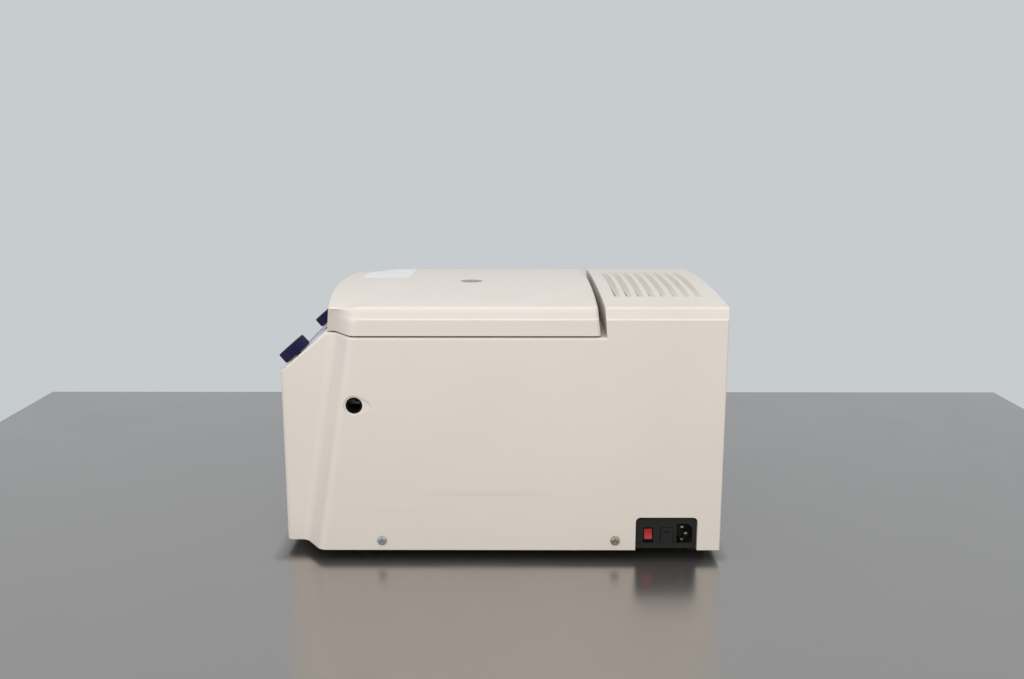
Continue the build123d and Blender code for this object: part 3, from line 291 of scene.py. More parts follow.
foot_rubber = rubber("foot_rubber", 0.028, 0.35)
seal_rubber = rubber("seal_rubber", 0.035, 0.12)
foot_profile = [(0, foot_hollow), (foot_hole, foot_hollow), (foot_sink, 0), (foot_wide - foot_bevel, 0),
                (foot_wide, foot_tall * foot_side_share), (foot_wide - foot_shrink, foot_tall),
                (0, foot_tall)]
foot_grids = [lathe(rounded(foot_profile, foot_soft), foot_turns, x, y) for x, y in foot_places]
feet = closed_mesh("rubber_feet", foot_grids, foot_rubber)
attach(feet, "root")
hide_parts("feet")
wear(seal_rubber, "bowl_gasket", "lid_seal", "shaft_boot", "motor_isolators", "compressor_mounts")

# Motor and shaft
# A cast aluminium can with cooling ribs holds the laminated stator. The shaft and the armature
# are ground steel, and run in two ball bearings.

drive_axis = Vector(joints["rotor_spin"]["pos_m"])
turning_marks = 900.0


def cast_metal(name, colour, roughness=0.5):
    """Cast aluminium: a pebbled skin with slightly darker hollows."""
    finish = new_finish(name, colour, roughness, 0.9)
    skin = noise(finish, 700, 4)
    dark = tuple(c * 0.8 for c in colour)
    two_tone(finish, spread(finish, skin, *noise_band, 0, 1), colour, dark)
    relief(finish, skin, 0.00008, edge=0.0005)
    return finish


def turned_metal(name, colour, roughness, metallic=1.0, marks=turning_marks, depth=0.00001):
    """Metal turned round the rotor axis: fine rings that depend only on the distance from the
    axis and on the height, so that they run round the piece."""
    finish = new_finish(name, colour, roughness, metallic)
    parts = placed(finish, "ShaderNodeSeparateXYZ", {"shift": (-drive_axis.x, -drive_axis.y, 0)})
    flat = add(finish, "ShaderNodeCombineXYZ")
    join(finish, parts.outputs["X"], flat.inputs["X"])
    join(finish, parts.outputs["Y"], flat.inputs["Y"])
    reach = add(finish, "ShaderNodeVectorMath", operation="LENGTH")
    join(finish, flat.outputs["Vector"], reach.inputs[0])
    ring = add(finish, "ShaderNodeCombineXYZ")
    join(finish, reach.outputs["Value"], ring.inputs["X"])
    join(finish, parts.outputs["Z"], ring.inputs["Y"])
    field = add(finish, "ShaderNodeTexNoise", Scale=marks, Detail=3.0)
    join(finish, ring.outputs["Vector"], field.inputs["Vector"])
    rings = field.outputs["Fac"]
    two_tone(finish, spread(finish, rings, 0.35, 0.65, 0, 1), colour, tuple(c * 0.86 for c in colour))
    gloss_with(finish, rings, roughness * 0.8, roughness * 1.25)
    relief(finish, rings, depth, edge=0.0003)
    return finish


can_metal = cast_metal("can_metal", (0.55, 0.56, 0.57))
shaft_steel = turned_metal("shaft_steel", (0.62, 0.62, 0.63), 0.25)
wear(can_metal, "motor_housing")
wear(shaft_steel, "drive_shaft", "motor_armature", "bearings")


def laminated_steel():
    """Stacked sheets: thin dark lines between bright edges, one over another."""
    finish = new_finish("laminated_steel", (0.35, 0.34, 0.33), 0.45, 0.8)
    sheets = placed(finish, "ShaderNodeTexWave", bands_direction="Z", Scale=300.0, Distortion=0.3)
    two_tone(finish, sheets.outputs["Fac"], (0.16, 0.15, 0.15), (0.42, 0.41, 0.4))
    relief(finish, sheets.outputs["Fac"], 0.0001)
    return finish


wear(laminated_steel(), "motor_stator")

# Chamber
# The bowl is deep drawn from stainless steel and polished round. Poured foam holds the copper
# evaporator tube against its wall, and a rubber ring seals its mouth.

bowl_steel = turned_metal("bowl_steel", (0.66, 0.66, 0.65), 0.24, marks=500.0, depth=0.000006)
wear(bowl_steel, "bowl")


def poured_foam():
    """Cream foam with open pores of two sizes."""
    finish = new_finish("poured_foam", (0.72, 0.64, 0.44), 0.85)
    pores = placed(finish, "ShaderNodeTexVoronoi", Scale=420.0)
    tone = noise(finish, 25, 5, 0.6)
    two_tone(finish, tone, (0.78, 0.70, 0.50), (0.62, 0.52, 0.32))
    relief(finish, pores.outputs["Distance"], 0.0006)
    return finish


def drawn_copper():
    """Copper tube: bright drawn metal that has dulled brown in patches."""
    finish = new_finish("drawn_copper", (0.72, 0.36, 0.22), 0.32, 1.0)
    dull = spread(finish, noise(finish, 45, 6, 0.6), 0.42, 0.68, 0, 0.8)
    two_tone(finish, dull, (0.74, 0.38, 0.23), (0.36, 0.17, 0.10))
    gloss_with(finish, noise(finish, 45, 6, 0.6), 0.24, 0.5)
    relief(finish, noise(finish, 1200, 2), 0.00001)
    return finish


copper = drawn_copper()
wear(poured_foam(), "bowl_insulation")
wear(copper, "evaporator_coil", "refrigerant_pipes", "filter_drier")

# Cooling set
# A black enamelled compressor on rubber blocks pumps through copper pipes to a finned condenser,
# and an axial fan draws room air over the fins and out through the rear grille.


def enamel():
    """Stoved black enamel with the ripple of a sprayed coat."""
    finish = new_finish("enamel", (0.02, 0.02, 0.022), 0.3, Coat_Weight=0.35, Coat_Roughness=0.2)
    gloss_with(finish, noise(finish, 40, 3), 0.25, 0.42)
    relief(finish, noise(finish, 380, 2), 0.00009)
    return finish


def fin_metal():
    """Pressed aluminium fins: thin lines across the air flow."""
    finish = new_finish("fin_metal", (0.60, 0.61, 0.62), 0.35, 0.95)
    lines = placed(finish, "ShaderNodeTexWave", bands_direction="Z", Scale=160.0)
    two_tone(finish, lines.outputs["Fac"], (0.42, 0.43, 0.44), (0.66, 0.67, 0.68))
    relief(finish, lines.outputs["Fac"], 0.0002)
    return finish


def moulded_black(name, shade, roughness=0.45, warmth=1.0, **more):
    """Black moulded plastic: fine even grain, softened edges and a faint bloom."""
    dark = (shade * warmth, shade, shade / warmth)
    finish = new_finish(name, dark, roughness, **more)
    bloom = spread(finish, noise(finish, 35, 4), 0.4, 0.75, 0, 0.5)
    two_tone(finish, bloom, dark, tuple(c * 1.6 for c in dark))
    gloss_with(finish, noise(finish, 90, 3), roughness * 0.85, roughness * 1.15)
    relief(finish, noise(finish, 2600, 2), 0.00002, edge=0.0004)
    return finish


fan_plastic = moulded_black("fan_plastic", 0.022)
wear(enamel(), "compressor")
wear(fin_metal(), "condenser")
wear(fan_plastic, "fan_frame", "fan_impeller", "encoders", "sight_tube")
wear(moulded_black("bush_plastic", 0.006, 0.8, Specular_IOR_Level=0.1), "release_bush")

# Power board
# The inverter board stands behind the chamber: green lacquer over copper tracks, with its parts
# soldered on one face.


def circuit_lacquer():
    """Green lacquer with paler tracks, from bricks with wide joints."""
    finish = new_finish("circuit_lacquer", (0.02, 0.13, 0.05), 0.3)
    tracks = placed(finish, "ShaderNodeTexBrick", {"turn": (math.pi / 2, 0, 0)}, Scale=160.0,
                    Color1=(0.015, 0.11, 0.04, 1), Color2=(0.02, 0.14, 0.055, 1),
                    Mortar=(0.05, 0.24, 0.10, 1))
    colour_with(finish, tracks.outputs["Color"])
    relief(finish, tracks.outputs["Fac"], 0.00003, edge=0.0003)
    return finish


wear(circuit_lacquer(), "power_board", "control_board")

# Mains module
# A dark moulded block behind the skirt holds the switch, a fuse drawer and the mains inlet, with
# a lip along its lower edge in front of the tray. The switch rocker is clear red plastic and has a
# hollow face. The three contact pins are plated brass.

module_plastic = moulded_black("module_plastic", 0.017, 0.5, 1.03, Specular_IOR_Level=0.3)
wear(module_plastic, "power_inlet")
wear(moulded_black("drawer_plastic", 0.010, 0.42), "fuse_drawer")


def pin_plating():
    """Nickel plate, rubbed in lines along the pin where the plug slides."""
    finish = new_finish("pin_plating", (0.78, 0.75, 0.68), 0.2, 1.0)
    rub = noise(finish, 900, 3, stretch=(0.05, 1, 1))
    two_tone(finish, rub, (0.84, 0.81, 0.74), (0.62, 0.56, 0.45))
    gloss_with(finish, rub, 0.14, 0.32)
    return finish


def rocker_red():
    """Clear red plastic over a dark body, paler where it is thick."""
    finish = new_finish("rocker_red", (0.36, 0.02, 0.02), 0.3, Coat_Weight=0.3, Subsurface_Weight=0.15,
                        Subsurface_Radius=(0.003, 0.001, 0.001))
    depth = noise(finish, 140, 2)
    two_tone(finish, depth, (0.42, 0.03, 0.028), (0.30, 0.014, 0.014))
    relief(finish, noise(finish, 2500, 2), 0.00001, edge=0.0005)
    return finish


def fuse_glass():
    """Fuses with nickelled caps, as bright as their glass, with a faint ripple."""
    finish = new_finish("fuse_glass", (0.75, 0.76, 0.77), 0.15, 0.9)
    relief(finish, noise(finish, 600, 2), 0.00002)
    return finish


wear(pin_plating(), "inlet_pins")
wear(fuse_glass(), "fuses")

rocker_spot = Vector(joints["rocker_tilt"]["pos_m"])
rocker_half = 0.0059
rocker_wide = 0.0042
rocker_rest = math.radians(9)
rocker_back = -0.005
rocker_shoulder = 0.003
rocker_heel = 0.003
rocker_lip = 0.0075
rocker_lip_in = 0.0006
rocker_face = 0.0061
rocker_hollow = 0.002
rocker_middle = 0.001
rocker_soft = 0.0007
lip_low = Vector((0.1406, 0.1424, 0.0103))
lip_high = Vector((0.1418, 0.2056, 0.0160))
upper = [(rocker_back, 0), (rocker_back, rocker_half - rocker_heel), (rocker_shoulder, rocker_half),
         (rocker_lip, rocker_half - rocker_lip_in), (rocker_face, rocker_hollow)]
rocker_profile = upper + [(deep, -tall) for deep, tall in upper[::-1]]


def rocker_grid():
    """Profile of depth and height, closed round and drawn in at both sides by the softened edge,
    then turned by a(x, z) = (x cos t - z sin t, x sin t + z cos t) to its off side."""
    loop = np.array(rounded(rocker_profile, rocker_soft, 4))[:-1]
    middle = np.array((rocker_middle, 0.0))
    sizes = (0, 0.6, 0.94, 0.985, 1)
    insets = (0, 0, 0, 0.0002, 0.0006)
    rows = [(size, rocker_wide - inset) for size, inset in zip(sizes, insets)]
    rows += [(size, -wide) for size, wide in rows[::-1]]
    grid = []
    for size, wide in rows:
        flat = middle + (loop - middle) * size
        x = flat[:, 0] * math.cos(rocker_rest) - flat[:, 1] * math.sin(rocker_rest)
        z = flat[:, 0] * math.sin(rocker_rest) + flat[:, 1] * math.cos(rocker_rest)
        grid.append(np.column_stack([x, np.full(len(x), wide), z]) + np.array(rocker_spot))
    return np.array(grid)


switch_rocker = closed_mesh("switch_rocker", [rocker_grid()], rocker_red())
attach(switch_rocker, "rocker")
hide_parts("rocker")


def plain_box(name, low, high, finish, soft=0.0003):
    """A box between two corners, its edges softened."""
    mesh = bpy.data.meshes.new(name)
    work = bmesh.new()
    bmesh.ops.create_cube(work, size=1, matrix=Matrix.Translation((low + high) / 2) @ Matrix.Diagonal(
        (*(high - low), 1)))
    if soft:
        bmesh.ops.bevel(work, geom=work.edges[:], offset=soft, segments=2, affect="EDGES")
    work.to_mesh(mesh)
    work.free()
    return shown(name, mesh, finish)


module_lip = plain_box("module_lip", lip_low, lip_high, module_plastic)
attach(module_lip, "root")

# Casing
# The whole outer casing is one warm off-white moulding with a fine spark-eroded grain, aged a
# little yellow in patches, with hairline scuffs, and slightly darker and greener low on its skirt.

casing_white = (0.712, 0.655, 0.608)
casing_aged = (0.682, 0.617, 0.552)
skirt_darkening_low = 0.008
skirt_darkening_top = 0.034


def moulded_casing():
    """Off-white plastic: broad ageing, darker and greener towards the bottom, scuffs and a fine grain."""
    finish = new_finish("moulded_casing", casing_white, 0.42)
    aged = spread(finish, noise(finish, 7, 4, 0.55), 0.38, 0.72, 0, 0.7)
    base = tint(finish, aged, casing_white, casing_aged)
    height = placed(finish, "ShaderNodeSeparateXYZ")
    # Slightly darker and greener towards the bottom of the skirt, mixed in up to a tenth.
    low = spread(finish, height.outputs["Z"], skirt_darkening_low, skirt_darkening_top, 0.1, 0.0)
    base = tint(finish, low, None, (0.56, 0.55, 0.46), base=base)
    for turn, cells in (((0.3, 0.2, 0.1), 55), ((1.2, 0.4, 0.9), 38)):
        scuff = noise(finish, cells, 2, stretch=(1, 0.05, 1), turn=turn)
        line = spread(finish, scuff, 0.71, 0.75, 0, 0.16)
        base = tint(finish, line, None, (0.52, 0.49, 0.45), base=base)
    colour_with(finish, base)
    gloss_with(finish, noise(finish, 22, 4), 0.38, 0.5)
    relief(finish, noise(finish, 1700, 2, 0.6), 0.000035, edge=0.0004)
    return finish


casing_plastic = moulded_casing()
wear(casing_plastic, "housing", "lid_shell", "lid_liner")

# Casing screws
# Cross-recessed pan head screws hold the casing to the tray. Their heads are nickel plated; the
# rear ones have turned a little yellow. Smaller ones hold the rear grille.

screw_turns = 96
dome_rings = 26
rim_share = 0.25
shank_share = 0.5
cross_share = 0.56
cross_depth = 0.0016
cross_half = 0.00042
cross_soft = 0.00016
cross_end_soft = 0.0004
cross_floor = 1.25


def screw_grid(radius, head, length, turns=screw_turns):
    """Pan head with its shank, along +Z from the seat. The dome is h(1 - (1 - q)(r/R)^4), where q
    is the rim's share of the head, and a cross of two soft slots sinks into it."""
    outer = np.linspace(1, 0, dome_rings)[:, None] * np.ones(turns)
    angle = np.arange(turns) * 2 * np.pi / turns
    x = radius * outer * np.cos(angle)
    y = radius * outer * np.sin(angle)
    dome = head * (1 - outer ** 4 * (1 - rim_share)) * np.where(outer > 0.999, rim_share, 1)
    reach = radius * cross_share

    def slot(across, along):
        side = np.clip((cross_half - np.abs(across)) / cross_soft + 0.5, 0, 1)
        end = np.clip((reach - np.abs(along)) / cross_end_soft + 0.5, 0, 1)
        return side * end

    cross = np.maximum(slot(x, y), slot(y, x))
    z = dome - cross * cross_depth * np.clip(cross_floor - np.hypot(x, y) / reach, 0, 1)
    top = np.stack([x, y, z], axis=-1)
    shank = radius * shank_share
    stem = [(0, -length), (shank, -length), (shank, 0), (radius, 0), (radius, head * rim_share)]
    return np.concatenate([lathe(stem, turns), top])


def faced(grid, direction, place):
    """Turns a grid made along +Z to face a direction, and moves it to its place."""
    turn = Vector(direction).to_track_quat("Z", "Y").to_matrix()
    return grid @ np.array(turn).T + np.array(place)


def screw_plating(name, colour, stain):
    """Nickel plate with fine scratches and a stain round the recess."""
    finish = new_finish(name, colour, 0.22, 1.0)
    patch = spread(finish, noise(finish, 500, 3), 0.4, 0.65, 0, 1)
    two_tone(finish, patch, colour, stain)
    gloss_with(finish, noise(finish, 1500, 3), 0.14, 0.36)
    return finish


bright_plate = screw_plating("bright_plate", (0.80, 0.80, 0.79), (0.55, 0.54, 0.52))
yellow_plate = screw_plating("yellow_plate", (0.72, 0.68, 0.52), (0.44, 0.40, 0.26))
screw_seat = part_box("housing")[1].x
screw_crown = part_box("casing_screws")[1].x
screw_front_y = -0.121
screw_rear_y = 0.121
screw_level = 0.0205
screw_size = dict(radius=0.005, head=screw_crown - screw_seat, length=0.009)
grille_low, grille_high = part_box("rear_grille")
grille_inset = 0.0067
grille_screw = dict(radius=0.0029, head=0.0012, length=0.0022)


def side_screws(name, y, finish):
    """The pair of screws at one place along the machine, one on each side."""
    grids = [faced(screw_grid(**screw_size), (side, 0, 0), (side * screw_seat, y, screw_level))
             for side in (-1, 1)]
    piece = closed_mesh(name, grids, finish)
    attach(piece, "root")
    return piece


front_screws = side_screws("front_screws", screw_front_y, bright_plate)
side_screws("rear_screws", screw_rear_y, yellow_plate)
grille_corners = [(x, z) for x in (grille_low.x + grille_inset, grille_high.x - grille_inset)
                  for z in (grille_low.z + grille_inset, grille_high.z - grille_inset)]
grille_face = grille_high.y - grille_screw["head"]
grille_grids = [faced(screw_grid(**grille_screw), (0, 1, 0), (x, grille_face, z)) for x, z in grille_corners]
grille_screws = closed_mesh("grille_screws", grille_grids, bright_plate)
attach(grille_screws, "root")
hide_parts("casing_screws")

# Rear grille
# A punched steel plate in the casing's colour, painted in a fine structured coat.


def structured_paint():
    """Powder paint close to the casing's white, with a pebbled skin."""
    finish = new_finish("structured_paint", (0.62, 0.59, 0.53), 0.5)
    skin = noise(finish, 900, 3)
    two_tone(finish, skin, (0.64, 0.61, 0.55), (0.58, 0.55, 0.49))
    relief(finish, skin, 0.00008, edge=0.0004)
    return finish


wear(structured_paint(), "rear_grille")

# Control panel
# A printed film covers the sloped panel. It frames a clear display window and six keys, and
# bears only dial marks, numbers and plain signs.

panel_axis = Vector(joints["knob_right_turn"]["axis"])
panel_across = Vector((1, 0, 0))
panel_up = panel_axis.cross(panel_across)
knob_seat = 0.006
knob_spots = {side: Vector(joints[f"knob_{side}_turn"]["pos_m"]) - panel_axis * knob_seat
              for side in ("left", "right")}
panel_middle = (knob_spots["left"] + knob_spots["right"]) / 2


def on_panel(u, v, w=0.0):
    """A point on the sloped panel, across, up the slope and out of it from the line of the knobs."""
    return panel_middle + panel_across * u + panel_up * v + panel_axis * w


def panel_film(name, colour, roughness=0.38):
    """Printed polyester film with a fine frosted face."""
    finish = new_finish(name, colour, roughness)
    frost = noise(finish, 3200, 2)
    two_tone(finish, noise(finish, 30, 3), colour, tuple(c * 0.95 for c in colour))
    relief(finish, frost, 0.000015, edge=0.0003)
    return finish


def display_glass():
    """Clear window, dark behind, with a slight green cast."""
    finish = new_finish("display_glass", (0.012, 0.016, 0.014), 0.06, Coat_Weight=0.5,
                        Transmission_Weight=0.25)
    gloss_with(finish, noise(finish, 60, 3), 0.04, 0.12)
    return finish


film = panel_film("panel_film", (0.60, 0.61, 0.645))
key_film = panel_film("key_film", (0.30, 0.33, 0.38))
ink_white = panel_film("ink_white", (0.78, 0.79, 0.80), 0.5)
ink_navy = panel_film("ink_navy", (0.035, 0.03, 0.08), 0.5)
ghost_ink = panel_film("ghost_ink", (0.05, 0.07, 0.06), 0.3)
wear(film, "control_panel")
wear(display_glass(), "display_window")
wear(ghost_ink, "display_module")
wear(key_film, *[n for n in nodes if n.startswith("key_")])

# Knobs
# Two navy knobs with fine ribs round their skirts and a dished face with a pointer line. They are
# moulded over the encoder shafts.

knob_wide = 0.01625
knob_base = 0.0011
knob_tall = 0.0122
rib_count = 40
rib_samples = 10
rib_depth = 0.00085
rib_start = 0.0012
rib_fade = 0.0008
skirt_foot = 0.0013
skirt_rise = 0.0015
skirt_draft = 0.00015
skirt_chamfer = 0.001
dish_rim = 0.0045
dish_edge = 0.0053
dish_deep = 0.0006
knob_soft = 0.0006
pointer_half = 0.0006
pointer_inner = 0.0035
pointer_outer = 0.0104
pointer_thick = 0.00012
shaft_wide = 0.003
shaft_deep = 0.0125


def knob_grid():
    """Ribbed body: radius R(h) less d(1 + cos(n t))^2 / 4 on the skirt, where n is the rib count,
    fading out at the chamfers, then a dished top and a shaft below."""
    turns = rib_count * rib_samples
    angle = np.arange(turns) * 2 * np.pi / turns
    crown = knob_base + knob_tall
    skirt = [(shaft_wide, knob_base), (knob_wide - skirt_foot, knob_base),
             (knob_wide, knob_base + skirt_rise), (knob_wide - skirt_draft, crown - skirt_chamfer),
             (knob_wide - skirt_chamfer, crown)]
    dish = [(knob_wide - dish_rim, crown), (knob_wide - dish_edge, crown - dish_deep), (0, crown - dish_deep)]
    body = rounded(skirt + dish, knob_soft, 5)
    profile = np.array([(0, -shaft_deep), (shaft_wide, -shaft_deep)] + [tuple(p) for p in body])
    radius, height = profile[:, :1], profile[:, 1:]
    on_skirt = np.clip((radius - knob_wide + rib_start) / rib_fade, 0, 1)
    groove = rib_depth * ((1 + np.cos(rib_count * angle)) / 2) ** 2 * on_skirt
    r = radius - groove
    return np.stack([r * np.cos(angle), r * np.sin(angle), np.broadcast_to(height, r.shape)], axis=-1)


def navy_plastic():
    """Dark blue plastic, half gloss, with a painted highlight: the sharp rib edges are bluer."""
    finish = new_finish("navy_plastic", (0.009, 0.006, 0.034), 0.34, Specular_IOR_Level=0.28)
    # Pointiness makes the sharp rib edges bluer: a painted highlight.
    rub = add(finish, "ShaderNodeNewGeometry")
    rib_painted_highlight = spread(finish, rub.outputs["Pointiness"], 0.5, 0.56, 0, 0.5)
    two_tone(finish, rib_painted_highlight, (0.008, 0.005, 0.032), (0.04, 0.03, 0.14))
    gloss_with(finish, noise(finish, 120, 3), 0.28, 0.42)
    relief(finish, noise(finish, 2400, 2), 0.00002)
    return finish


def flat_shapes(name, outlines, place, finish, thick):
    """Flat printed or moulded shapes: a point (x, y) of an outline lies at p + x a + y b, where p,
    a and b are the place's origin and first two axes, and again a thickness along its third."""
    right, up, out = np.array(place.to_3x3()).T
    points, faces, start = [], [], 0
    for outline in outlines:
        low = np.array(outline) @ np.array([right, up]) + np.array(place.translation)
        points += [low, low + out * thick]
        index = start + np.arange(len(low))
        above = index + len(low)
        walls = np.stack([index, np.roll(index, -1), np.roll(above, -1), above], axis=-1)
        faces += [index.tolist(), above.tolist(), *walls.tolist()]
        start += 2 * len(low)
    return finished(name, worked(name, np.concatenate(points), faces), finish)


def panel_place(u, v, w):
    """Matrix whose X runs across the panel, Y up the slope and Z out of it."""
    turn = Matrix((panel_across, panel_up, panel_axis)).transposed().to_4x4()
    return Matrix.Translation(on_panel(u, v, w)) @ turn


def bar(x0, x1, y0, y1):
    """Outline of an upright rectangle."""
    return [(x0, y0), (x1, y0), (x1, y1), (x0, y1)]


navy = navy_plastic()
for side, spot in knob_spots.items():
    grip = closed_mesh(f"knob_{side}_grip", [faced(knob_grid(), panel_axis, spot)], navy)
    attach(grip, f"knob_{side}")
    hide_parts(f"knob_{side}")
    across = 1 if side == "right" else -1
    face_level = knob_base + knob_tall - dish_deep
    line = flat_shapes(f"knob_{side}_line", [bar(-pointer_half, pointer_half, pointer_inner, pointer_outer)],
                       panel_place(across * abs(spot.x), 0, face_level), ink_white, pointer_thick)
    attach(line, f"knob_{side}")

# Dial marks and signs
# Ticks and numbers are printed round the knobs, a plain sign is printed on each key, and the
# unlit digits of the display show faintly.

film_top = 0.0
ink_thick = 0.00008
type_thick = 0.00006
digit_thick = 0.00004
tick_inner = 0.0182
tick_outer = 0.0205
tick_half = 0.00022
tick_short = 0.0008
tick_span = math.radians(270)
tick_steps = 10
number_ring = 0.0235
number_size = 0.0034


def tick(angle, inner, outer):
    """A short radial bar at an angle."""
    out = np.array((math.sin(angle), math.cos(angle)))
    side = np.array((out[1], -out[0])) * tick_half
    corners = (out * inner - side, out * outer - side, out * outer + side, out * inner + side)
    return [tuple(corner) for corner in corners]


def face_of(name):
    """Middle height up the slope, and level above the panel, of a CAD node's outer face."""
    points = [v.co - panel_middle for v in nodes[name].data.vertices]
    rise = [p.dot(panel_up) for p in points]
    return (min(rise) + max(rise)) / 2, max(p.dot(panel_axis) for p in points)


def number_mesh(name, words, finish):
    """Flat numbers as one mesh: each word is set in type, then moved to its place."""
    merged = bmesh.new()
    for text, place, size in words:
        curve = bpy.data.curves.new(name, "FONT")
        curve.body = text
        curve.size = size
        curve.align_x = "CENTER"
        curve.align_y = "CENTER"
        curve.extrude = type_thick
        holder = bpy.data.objects.new(name + "_type", curve)
        scene.collection.objects.link(holder)
        bpy.context.view_layer.update()
        flat = bpy.data.meshes.new_from_object(holder.evaluated_get(bpy.context.evaluated_depsgraph_get()))
        flat.transform(place)
        merged.from_mesh(flat)
        bpy.data.objects.remove(holder)
        bpy.data.curves.remove(curve)
        bpy.data.meshes.remove(flat)
    mesh = bpy.data.meshes.new(name)
    merged.to_mesh(mesh)
    merged.free()
    return shown(name, mesh, finish)


for side, spot in knob_spots.items():
    angles = [tick_span * (i / tick_steps - 0.5) for i in range(tick_steps + 1)]
    ticks = [tick(a, tick_inner, tick_outer - tick_short * (i % 2)) for i, a in enumerate(angles)]
    marks = flat_shapes(f"dial_marks_{side}", ticks, panel_place(spot.x, 0, film_top), ink_navy, ink_thick)
    places = [panel_place(spot.x + number_ring * math.sin(a), number_ring * math.cos(a),
                          film_top + type_thick) for a in angles]
    words = [(str(i), places[i], number_size) for i in range(0, len(angles), 2)]
    numbers = number_mesh(f"dial_numbers_{side}", words, ink_navy)
    for piece in (marks, numbers):
        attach(piece, "root")

half = 0.0019
thin = 0.0004
open_foot = -0.0006
open_line = -0.0013
signs = {
    "key_start": [[(-half, -half), (half, 0), (-half, half)]],
    "key_stop": [bar(-half, half, -half, half)],
    "key_open": [[(-half, open_foot), (half, open_foot), (0, half)], bar(-half, half, -half, open_line)],
    "key_pulse": [[(-half, -half), (0, 0), (-half, half)], [(0, -half), (half, 0), (0, half)]],
    "key_cooler": [bar(-half, half, -thin, thin)],
    "key_warmer": [bar(-half, half, -thin, thin), bar(-thin, thin, thin, half),
                   bar(-thin, thin, -half, -thin)],
}
for key, outlines in signs.items():
    low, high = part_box(key)
    middle = (low + high) / 2 - panel_middle
    face = panel_place(middle.x, *face_of(key))
    sign = flat_shapes(f"sign_{key[4:]}", outlines, face, ink_white, ink_thick)
    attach(sign, key)

digit_tall = 0.011
digit_wide = 0.0062
digit_slant = 0.12
digit_gap = 0.0002
digit_pitch = 0.0088
digit_groups = ((-0.042, 5), (0.004, 2), (0.03, 2))
stroke = 0.0011


def seven_bars(u, v):
    """The seven bars of a digit, leaning by the slant, round a middle point."""
    h, w, t, g = digit_tall / 2, digit_wide / 2, stroke / 2, digit_gap
    bars = [bar(-w + t + g, w - t - g, y - t, y + t) for y in (-h, 0, h)]
    bars += [bar(x - t, x + t, y0 + t + g, y0 + h - t - g) for x in (-w, w) for y0 in (-h, 0)]
    return [[(u + x + digit_slant * y, v + y) for x, y in outline] for outline in bars]


digits = []
for start, count in digit_groups:
    for i in range(count):
        digits += seven_bars(start + i * digit_pitch, 0)
display_face = panel_place(0, *face_of("display_window"))
unlit = flat_shapes("display_digits", digits, display_face, ghost_ink, digit_thick)
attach(unlit, "root")

# Lid lock
# A sliding bolt, its solenoid and the pull rod of the emergency release are bright plated steel.

lock_steel = new_finish("lock_steel", (0.6, 0.6, 0.6), 0.32, 1.0)
gloss_with(lock_steel, noise(lock_steel, 60, 4), 0.25, 0.42)
relief(lock_steel, noise(lock_steel, 500, 3, stretch=(0.08, 1, 1)), 0.00002, edge=0.0004)
wear(lock_steel, "lock_slide", "release_rod", "lid_striker", "hinge_pins", "hinge_knuckles")
wear(moulded_black("solenoid_tape", 0.05, 0.5), "lock_solenoid")

# Rotor
# Turned and anodised aluminium with slanting tube bores, closed by a flat cover and a quick-lock
# knob with finger scallops.

rotor_metal = turned_metal("rotor_metal", (0.36, 0.37, 0.39), 0.34, 0.9, marks=1100.0)
cover_metal = turned_metal("cover_metal", (0.52, 0.53, 0.55), 0.3, 0.9, marks=1300.0)
wear(rotor_metal, "rotor")
wear(cover_metal, "rotor_lid")
wear(navy, "rotor_knob")

# Lid shell
# One thin moulding. Its crowned roof runs to the bowed front and dips at both front corners,
# where the sides draw in over a crease to the narrow nose.

shell_low, shell_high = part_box("lid_shell")
crown_half = 0.1422
crown_edge = 0.2655
crown_top = 0.2710
side_half = shell_high.x
nose_half = 0.118
step_level = 0.253
step_in = 0.0014
crease_lean = 0.164
crease_rear = -0.1480
crease_nose = -0.1671
front_low = shell_low.y - 0.0012
front_bow = 0.0075
front_lean = 0.093
rear_lean = 0.12
rear_bow = 0.002
corner_soft = 0.006
nose_top_half = 0.131
front_dip = 0.0035
dip_start = 0.060
dip_fade = 5
rim_soft = 0.0022
skin = 0.0025
window_middle = Vector((0, drive_axis.y, 0))
window_bore = 0.0121
window_lip = 0.010
window_boss = 0.0145
station_length = 0.007
across_steps = 16
rear_steps = 8
lower_levels = 5
upper_levels = 4
roof_rings = 26
lens_seat = 0.268
lens_end = 0.262
first_rise = 0.02
upper_rises = (0.74, 0.87, 1)
inner_stop = 0.96
slot_half = 0.0048
slot_low = 0.236
slot_top = 0.2668
slot_rear = 0.12
slot_places = (-0.062, 0.062)


def crown_height(x):
    """Height of the lid's crown, an arc through its edge and its top."""
    rise = crown_top - crown_edge
    radius = (crown_half ** 2 + rise ** 2) / (2 * rise)
    return crown_top - radius + np.sqrt(radius ** 2 - x ** 2)


def half_outline(z):
    """Right half of the lid's plan at a height, from the middle of its rear to that of its front.
    The front is y = y0 + b (x / n)^2 and the rear y = y1 - c (x / h)^2."""
    up = z - shell_low.z
    side = np.interp(z, (step_level, step_level + step_in, crown_edge),
                     (side_half, side_half - step_in, crown_half))
    rear = shell_high.y - rear_lean * up
    shift = crease_lean * up
    nose = np.interp(z, (shell_low.z, crown_edge), (nose_half, nose_top_half))
    x = np.linspace(nose, 0, across_steps)
    front = np.column_stack([x, front_low + front_bow * (x / nose_half) ** 2 + front_lean * up])
    x = np.linspace(0, side, rear_steps)
    back = np.column_stack([x, rear + rear_bow * (1 - (x / side_half) ** 2)])
    crease = [(side, crease_rear + shift), (nose, crease_nose + shift)]
    return np.array(rounded(np.concatenate([back, crease, front]), corner_soft, 4))


